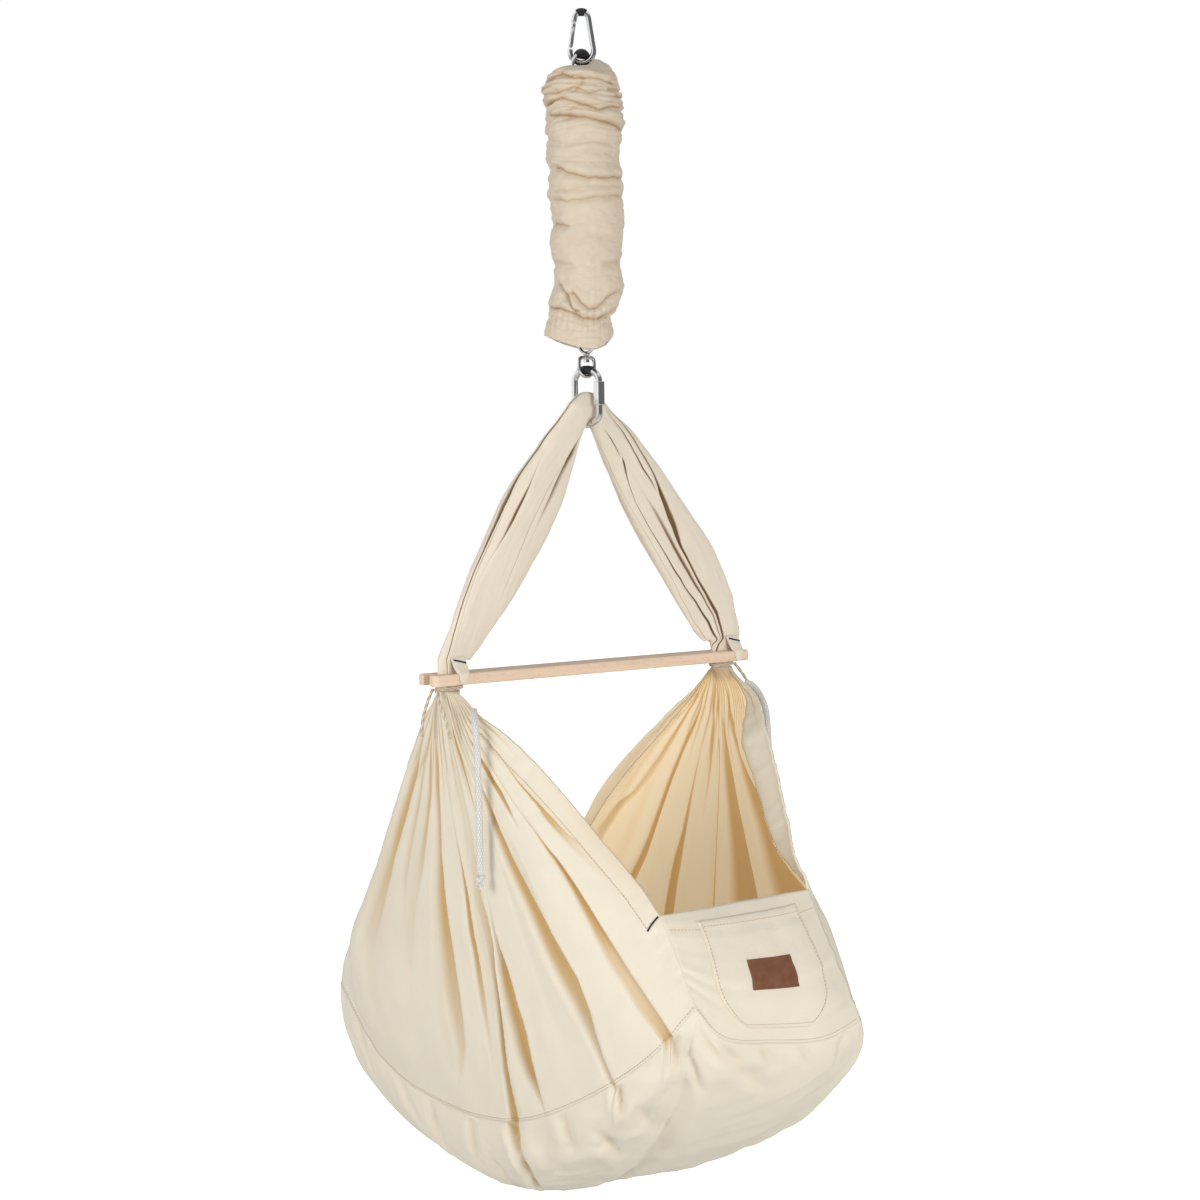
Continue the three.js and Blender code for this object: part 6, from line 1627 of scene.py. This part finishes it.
panel_a = np.linspace(0, 1, panel_columns + 1)
panel_b = np.linspace(0, 1, sewn_rows + 1)[:, None]
panels = {}
for end, out_sign, dips in (
        ("front", -1, [[-0.43, -0.9425, 0.592], [0, -0.9325, 0.618], [0.43, -0.95, 0.629]]),
        ("back", 1, [[-0.55, 1.03, 0.7], [0, 1.055, 0.715], [0.55, 1.03, 0.7]])):
    grid = end_panel(out_sign, dips)
    normal = grid_normals(grid)
    normal *= np.where(normal[..., 1:2] * out_sign < 0, -1, 1)
    lay = lay_lengths(grid)
    inside = between(0, 0.08, 0.92, 1, panel_a) * (1 - ease(0.94, 1, panel_b))
    crumple = value_noise(lay[..., 0] / 0.04, lay[..., 1] / 0.03, 111 + out_sign)
    grid = grid + normal * (0.0012 * crumple * inside)[..., None]
    outer = grid + normal * (0.0006 * ease(0.16, 0.145, panel_b) * inside)[..., None]
    # Painted shade along the hem's edge
    fold = 0.5 * crease((panel_b - panel_hem) * 0.15, 0.0012, 0.0012, 0.0005) * (1 + 0 * panel_a)
    panel = make_skin(f"{end}_panel_canvas", outer, outer - normal * wall_cloth, lay,
                      canvas_cotton, "cradle", {"fold": fold})
    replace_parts(panel, f"{end}_end_panel")
    panels[end] = outer, normal
    hem_row = int(round(panel_hem * sewn_rows))
    stitches(f"{end}_panel_stitching", [
        [outer[hem_row, 1:-1], normal[hem_row, 1:-1]],
        [outer[-2, 1:-1] * 0.6 + outer[-3, 1:-1] * 0.4, normal[-2, 1:-1]]])

# Pocket and patch
# A flat pocket with rounded lower corners is stitched on the front panel, and a small plain
# patch of brown leather is sewn on its middle.
pocket_top, pocket_foot, pocket_width, pocket_middle = 0.09, 0.88, 0.66, 0.53
pocket_rows, pocket_columns, pocket_inset = 60, 80, 0.0042


def grid_at(grid, x, y):
    """A grid's value between its columns x and rows y: the weighted mean of the four around."""
    i = np.minimum(x.astype(int), grid.shape[1] - 2)
    j = np.minimum(y.astype(int), grid.shape[0] - 2)
    s, t = (x - i)[..., None], (y - j)[..., None]
    return ((grid[j, i] * (1 - s) + grid[j, i + 1] * s) * (1 - t)
            + (grid[j + 1, i] * (1 - s) + grid[j + 1, i + 1] * s) * t)


def on_front(a, b):
    """The front panel's surface and outward direction at shares across and down."""
    place, out = (grid_at(grid, np.clip(a, 0, 1) * panel_columns, np.clip(b, 0, 1) * sewn_rows)
                  for grid in panels["front"])
    return place, unit(out)


front = panels["front"][0]
panel_mid_width = np.linalg.norm(front[sewn_rows // 2, -1] - front[sewn_rows // 2, 0])
panel_height = np.linalg.norm(front[-1, panel_columns // 2] - front[0, panel_columns // 2])
p, b = np.meshgrid(np.linspace(0, 1, pocket_columns),
                   np.linspace(pocket_top, pocket_foot, pocket_rows))
across = (p - 0.5) * pocket_width * (1 - 0.56 * np.clip((b - 0.45) / 0.43, 0, 1) ** 3)
base, out = on_front(pocket_middle + across, b)
edge = np.minimum(np.minimum(p, 1 - p) * 0.14,
                  np.minimum(b - pocket_top, pocket_foot - b) * 0.14) / 0.0035
swell = 0.0008 + 0.0012 * (1 - np.exp(-edge * 2)) + 0.0004 * value_noise(p * 9, b * 8, 121)
face = base + out * swell[..., None]
# Painted shade darkens the pocket towards its edges
pocket = make_skin("front_pocket_canvas", face, base + out * 0.0003,
                   np.stack([across * panel_mid_width, b * panel_height], -1), canvas_cotton,
                   "cradle", {"fold": 0.25 * np.exp(-edge * 3)})
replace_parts(pocket, "front_pocket")

# Its edge stitching runs down one side, round the foot and up the other
near_side, far_side = pocket_inset / 0.14, 1 - pocket_inset / 0.14
low_row = pocket_foot - pocket_inset / 0.14
down_edge = np.linspace(pocket_top, low_row, 60)
route_p = np.concatenate([np.full(60, near_side), np.linspace(near_side, far_side, 60),
                          np.full(60, far_side)])
route_b = np.concatenate([down_edge, np.full(60, low_row), down_edge[::-1]])
x = np.clip(route_p, 0, 1) * (pocket_columns - 1)
y = np.clip((route_b - pocket_top) / (pocket_foot - pocket_top), 0, 1) * (pocket_rows - 1)
stitches("pocket_stitching", [[grid_at(face, x, y), grid_at(out, x, y)],
                              [face[4, 2:-2], out[4, 2:-2]]])

leather, tree, shader = new_material("brown_patch_leather")
place = object_place(tree)
grain = add_node(tree, "ShaderNodeTexVoronoi", {"Vector": place, "Scale": 900})
tone = blend_colours(tree, noise(tree, place, 90, 4), (0.125, 0.044, 0.021, 1),
                     (0.255, 0.105, 0.052, 1))
fill_sockets(tree, shader, {
    "Base Color": tone, "Normal": relief(tree, grain.outputs["Distance"], 0.3, 0.0003),
    "Roughness": 0.55})
patch_width, patch_height, patch_thickness = 0.066, 0.038, 0.0016
p, q = np.meshgrid(np.linspace(0, 1, 60), np.linspace(0, 1, 40))
base, out = on_front(pocket_middle + (p - 0.5) * patch_width / panel_mid_width,
                     0.5 + (q - 0.5) * patch_height / panel_height)
from_side = np.minimum(np.minimum(p, 1 - p) * patch_width, np.minimum(q, 1 - q) * patch_height)
rounding = np.sqrt(np.clip(1 - (1 - np.clip(from_side / 0.001, 0, 1)) ** 2, 0, 1))
lift = 0.0026 + patch_thickness * rounding
lift = lift - 0.0004 * crease(from_side - 0.0028, 0.0007, 0.0007, 0.0002)
patch = make_skin("leather_patch_plain", base + out * lift[..., None], base + out * 0.0022,
                  np.stack([p * patch_width, q * patch_height], -1), leather, "cradle")
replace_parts(patch, "leather_patch")

# Base
# The bag's deep bowl of canvas, sewn to the walls' and end panels' lower edges.
base_rings = 72
# Dents, as the places along the rim and below it of both ends, then the depth and half width,
# all in millimetres, and how dark their painted shade is
base_dents = [
    (397, -10, 379, 51, 6, 9, 0.9), (379, 51, 370, 96, 6, 9, 0.8), (370, 96, 375, 145, 5, 9, 0.5),
    (160, -10, 141.6, 48, 5, 9, 0.55), (50, -10, 22, 60, 5, 10, 0.55),
    (104, 65, 20, 190, 5, 14, 0.3), (178, 88, 109, 179, 4, 12, 0.3),
    (200, 56, 120, 160, 3, 12, 0.15), (8, 66, -35, 90, 4, 12, 0.35),
    (-15, 25, -75, 26, 3.5, 10, 0.25), (-75, 26, -148, 69, 3.5, 12, 0.25),
    (590, 10, 586, 63, 4, 12, 0.25), (489, 0, 489, 69, 4, 12, 0.3), (671.5, 0, 644, 40, 3, 11, 0.2),
    (276, 0, 250, 71, 4, 12, 0.25), (-55, 3, -86, 28, 3, 8, 0.3), (-120, 3, -148, 32, 3, 8, 0.3),
    (-180, 3, -207, 32, 3, 8, 0.3), (-255, 4, -266, 43, 3, 9, 0.3),
    (330, 20, 300, 100, 3, 14, 0.15), (450, 50, 430, 130, 3, 14, 0.15),
    (800, 0, 780, 60, 2.5, 13, 0.2), (950, 0, 930, 50, 2.5, 13, 0.2),
    (1150, 0, 1130, 50, 2, 12, 0.2), (1350, 0, 1370, 60, 2, 13, 0.2),
    (1600, 0, 1620, 50, 2.5, 12, 0.2), (1850, 0, 1870, 60, 2, 12, 0.2),
    (2000, 0, 2020, 50, 2, 12, 0.2)]
bowl_centre = np.array([0, bag_half_length * 0.12, -bar_drop - bag_depth])
back_rim, front_rim = panels["back"][0][-1, 1:-1], panels["front"][0][-1, -2:0:-1]
rim, folded_rim = (np.concatenate([left, back_rim, right[::-1], front_rim]) for left, right in (
    (wall_seam["left"], wall_seam["right"]), (wall_outer["left"][-1], wall_outer["right"][-1])))


def bowl_point(w):
    """From the rim at 0 to the floor's middle at 1: the plan shrinks with cos^(2/n) and the
    depth grows with sin^(2/n) of a quarter turn, with a power n of each direction's own."""
    away = unit((rim - bowl_centre) * np.array([1, 1, 0]))
    sideways = np.abs(away[:, 0]) ** 3
    power = 2.3 + (1.55 - 2.3) * ease(-0.2, 0.2, -away[:, 1])
    power = power + (2.9 - power) * sideways
    shrink = np.cos(w * np.pi / 2)[:, None] ** (2 / power)
    drop = np.sin(w * np.pi / 2)[:, None] ** (2 / power)
    grid = bowl_centre + (rim - bowl_centre) * shrink[..., None]
    grid[..., 2] = rim[:, 2] + (bowl_centre[2] - rim[:, 2]) * drop
    return grid


w = np.linspace(0, 1, base_rings + 1)
w = 0.93 * (0.6 * w + 0.4 * w**2)
bowl = bowl_point(w)
normal = grid_normals(bowl, closed=True)
outward = bowl - bowl_centre + np.array([0, 0, -0.35])
normal *= np.where((normal * outward).sum(axis=-1, keepdims=True) < 0, -1, 1)
lay = lay_lengths(bowl, closed=True)
across, under_rim = lay[:, :-1, 0], lay[:, :-1, 1]
crumple = value_noise(across / 0.06, under_rim / 0.05, 131)
crumple += 0.5 * value_noise(across / 0.022, under_rim / 0.03, 151)
raised = 0.0021 * crumple * ease(0, 0.1, w)[:, None]
rim_run = run_along(rim)
rim_length = rim_run[-1] + np.linalg.norm(rim[0] - rim[-1])
dark = 0 * crumple
for *ends, depth, reach, tan in base_dents:
    at, under, to, down_to = np.array(ends) / 1000
    along = np.array([to - at, down_to - under])
    from_rim = (rim_run - at + rim_length / 2) % rim_length - rim_length / 2
    x, y = from_rim[None] + 0 * under_rim, under_rim - under
    t = np.clip((x * along[0] + y * along[1]) / (along @ along), 0, 1)
    away = np.hypot(x - t * along[0], y - t * along[1])
    steep = np.where(x * along[1] - y * along[0] > 0, 0.5, 1) * reach / 1000
    taper = 1 - 0.6 * np.abs(2 * t - 1) ** 2
    lip = np.exp(-((away - reach / 600) / (reach / 1000)) ** 2) * (steep < reach / 1500)
    raised = raised - depth / 600 * np.exp(-(away / steep) ** 2) * taper \
        + depth / 1800 * lip * taper
    # Painted shade along each dent
    dark = np.maximum(dark, tan * np.exp(-(away / (reach / 2200)) ** 2) * taper)
# The seam itself stays on the walls' and the panels' lower edges
raised = raised * ease(-0.001, 0.013, under_rim)
# The walls' painted fold shade carries on a little way below the seam
rim_fold = np.concatenate([wall_seam_fold["left"], 0 * back_rim[:, 0],
                           wall_seam_fold["right"][::-1], 0 * front_rim[:, 0]])
dark = np.maximum(dark, rim_fold * np.exp(-under_rim / 0.012))
outer = bowl + normal * raised[..., None]
outer = outer + (folded_rim - rim) * np.exp(-under_rim / 0.03)[..., None]
inner = outer - normal * wall_cloth
columns = len(rim)
count = outer.shape[0] * columns
r, c, place = grid_quads(base_rings, columns, columns, closed=True)
flat = grid_quads(base_rings, columns, columns + 1)[2]
rim_quads = place[r == 0][:, [1, 0, 0, 1]] + np.array([0, 0, count, count])
foot = place[r == base_rings - 1]
middle_fan = np.stack([foot[:, 3], foot[:, 2], np.full(columns, 2 * count)], -1)
inner_fan = np.stack([foot[:, 2], foot[:, 3], np.full(columns, count + 1)], -1) + count
uv = lay.reshape(-1, 2)[np.concatenate([flat, flat[:, ::-1], flat[r == 0][:, [1, 0, 0, 1]]])]
points = np.concatenate([outer.reshape(-1, 3), inner.reshape(-1, 3),
                         [outer[-1].mean(0), inner[-1].mean(0)]])
quads = np.concatenate([place, place[:, ::-1] + count, rim_quads])
dark = np.clip(dark, 0, 1).ravel()
base = make_piece("base_canvas", points, quads, np.concatenate([middle_fan, inner_fan]),
                  canvas_cotton, "cradle", uv,
                  {"fold": np.concatenate([dark, dark, [0, 0]])})
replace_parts(base, "base_panel")

# Mattress
# A foam pad in a sewn cotton cover lies on the bag's floor, hidden behind the front panel from
# most sides. Its cover is blown up a little by a cloth simulation and has a piped edge.
pad_voxel, pad_shrink, pad_swell, pad_frames = 0.006, 0.002, 0.009, 20
piping_radius, piping_points, piping_sides = 0.0022, 220, 12


def baked(holder):
    """The mesh that an object shows with its modifiers."""
    graph = bpy.context.evaluated_depsgraph_get()
    return bpy.data.meshes.new_from_object(holder.evaluated_get(graph))


def remeshed(source, name, voxel):
    """A copy of an object's mesh in even quads."""
    copy = put_in_scene(name, source.data.copy())
    even = copy.modifiers.new("even", "REMESH")
    even.mode, even.voxel_size = "VOXEL", voxel
    mesh = baked(copy)
    bpy.data.objects.remove(copy)
    return mesh


def places_of(mesh, what="vertices", field="co"):
    """A mesh's places or directions as an array."""
    items = getattr(mesh, what)
    flat = np.empty(len(items) * 3)
    items.foreach_get(field, flat)
    return flat.reshape(-1, 3)


pad_mesh = remeshed(bpy.data.objects["mattress"], "pad_copy", pad_voxel)
places, facing = places_of(pad_mesh), places_of(pad_mesh, "vertex_normals", "vector")
places = places - facing * pad_shrink
pad_mesh.vertices.foreach_set("co", places.ravel())
pad_mesh.update()
mattress = put_in_scene("mattress_pad", pad_mesh)
swelling = mattress.modifiers.new("swelling", "CLOTH")
cloth = swelling.settings
cloth.quality, cloth.mass = 5, 0.3
cloth.tension_stiffness = cloth.compression_stiffness = 15
cloth.shear_stiffness, cloth.bending_stiffness = 5, 0.5
cloth.use_pressure, cloth.uniform_pressure_force = True, 4
cloth.effector_weights.gravity = 0
swelling.point_cache.frame_start, swelling.point_cache.frame_end = 1, pad_frames
for step in range(1, pad_frames + 1):
    bpy.context.scene.frame_set(step)
blown = baked(mattress)
move = places_of(blown) - places
mattress.modifiers.clear()
bpy.data.meshes.remove(blown)
bpy.context.scene.frame_set(1)
# It rests on the floor, so only its upper side swells freely
freedom = pad_shrink * 0.4 + (pad_swell - pad_shrink * 0.4) * ease(0.2, 0.8, facing[:, 2])
far = np.linalg.norm(move, axis=1)
places = places + move * np.minimum(1, freedom / np.maximum(far, 1e-9))[:, None]
pad_mesh.vertices.foreach_set("co", places.ravel())
pad_mesh.update()
rounder = mattress.modifiers.new("rounder", "SUBSURF")
rounder.levels = rounder.render_levels = 1
rounded_mesh = baked(mattress)
mattress.modifiers.clear()
mattress.data = rounded_mesh
pad_cotton = cloth_material("mattress_cotton", (0.8, 0.74, 0.64, 1), (0.5, 0.36, 0.2, 1), 0.0008)
rounded_mesh.materials.clear()
rounded_mesh.materials.append(pad_cotton)
places, facing = places_of(rounded_mesh), places_of(rounded_mesh, "vertex_normals", "vector")
corner = np.empty(len(rounded_mesh.loops), np.int32)
rounded_mesh.loops.foreach_get("vertex_index", corner)
steep = np.abs(facing[corner, 2]) < 0.5
flat = np.where(steep[:, None], places[corner][:, [1, 2]], places[corner][:, [0, 1]])
layer = rounded_mesh.uv_layers.new(name="cloth")
layer.data.foreach_set("uv", flat.astype(np.float32).ravel())
rounded_mesh.polygons.foreach_set("use_smooth", np.ones(len(rounded_mesh.polygons), bool))
attribute = rounded_mesh.attributes.new("fold", "FLOAT", "POINT")
attribute.data.foreach_set("value", np.zeros(len(places), np.float32))
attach(mattress, "cradle")
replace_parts(mattress, "mattress")
# The piping follows the outermost points of the top edge
pad_middle = places.mean(axis=0)
away = places[:, :2] - pad_middle[:2]
turn, reach = np.arctan2(away[:, 1], away[:, 0]), np.hypot(*away.T)
edge_line = []
for at in np.linspace(-np.pi, np.pi, piping_points, endpoint=False):
    near = np.where((np.abs(nearest_turn(turn - at)) < 0.03) & (facing[:, 2] > 0.35))[0]
    best = near[np.argmax(reach[near] - 0.15 * (places[near, 2] - pad_middle[2]))]
    edge_line.append(places[best] + facing[best] * piping_radius * 0.4)
edge_line = np.array(edge_line)
window = np.hanning(9) / np.hanning(9).sum()
edge_line = np.stack([np.convolve(line, window, mode="valid")
                      for line in np.concatenate([edge_line[-4:], edge_line, edge_line[:4]]).T], -1)
piping_grid = tube_grid(edge_line, piping_radius, piping_sides, (0, 0, 1), closed=True)
piping_lay = np.stack(np.meshgrid(np.arange(piping_sides + 1) * 0.001,
                                  np.arange(piping_points) * 0.005), -1)
make_tube("mattress_piping", piping_grid, pad_cotton, "cradle", ring=True,
          lay=piping_lay, marks={"fold": np.zeros((piping_points, piping_sides))})
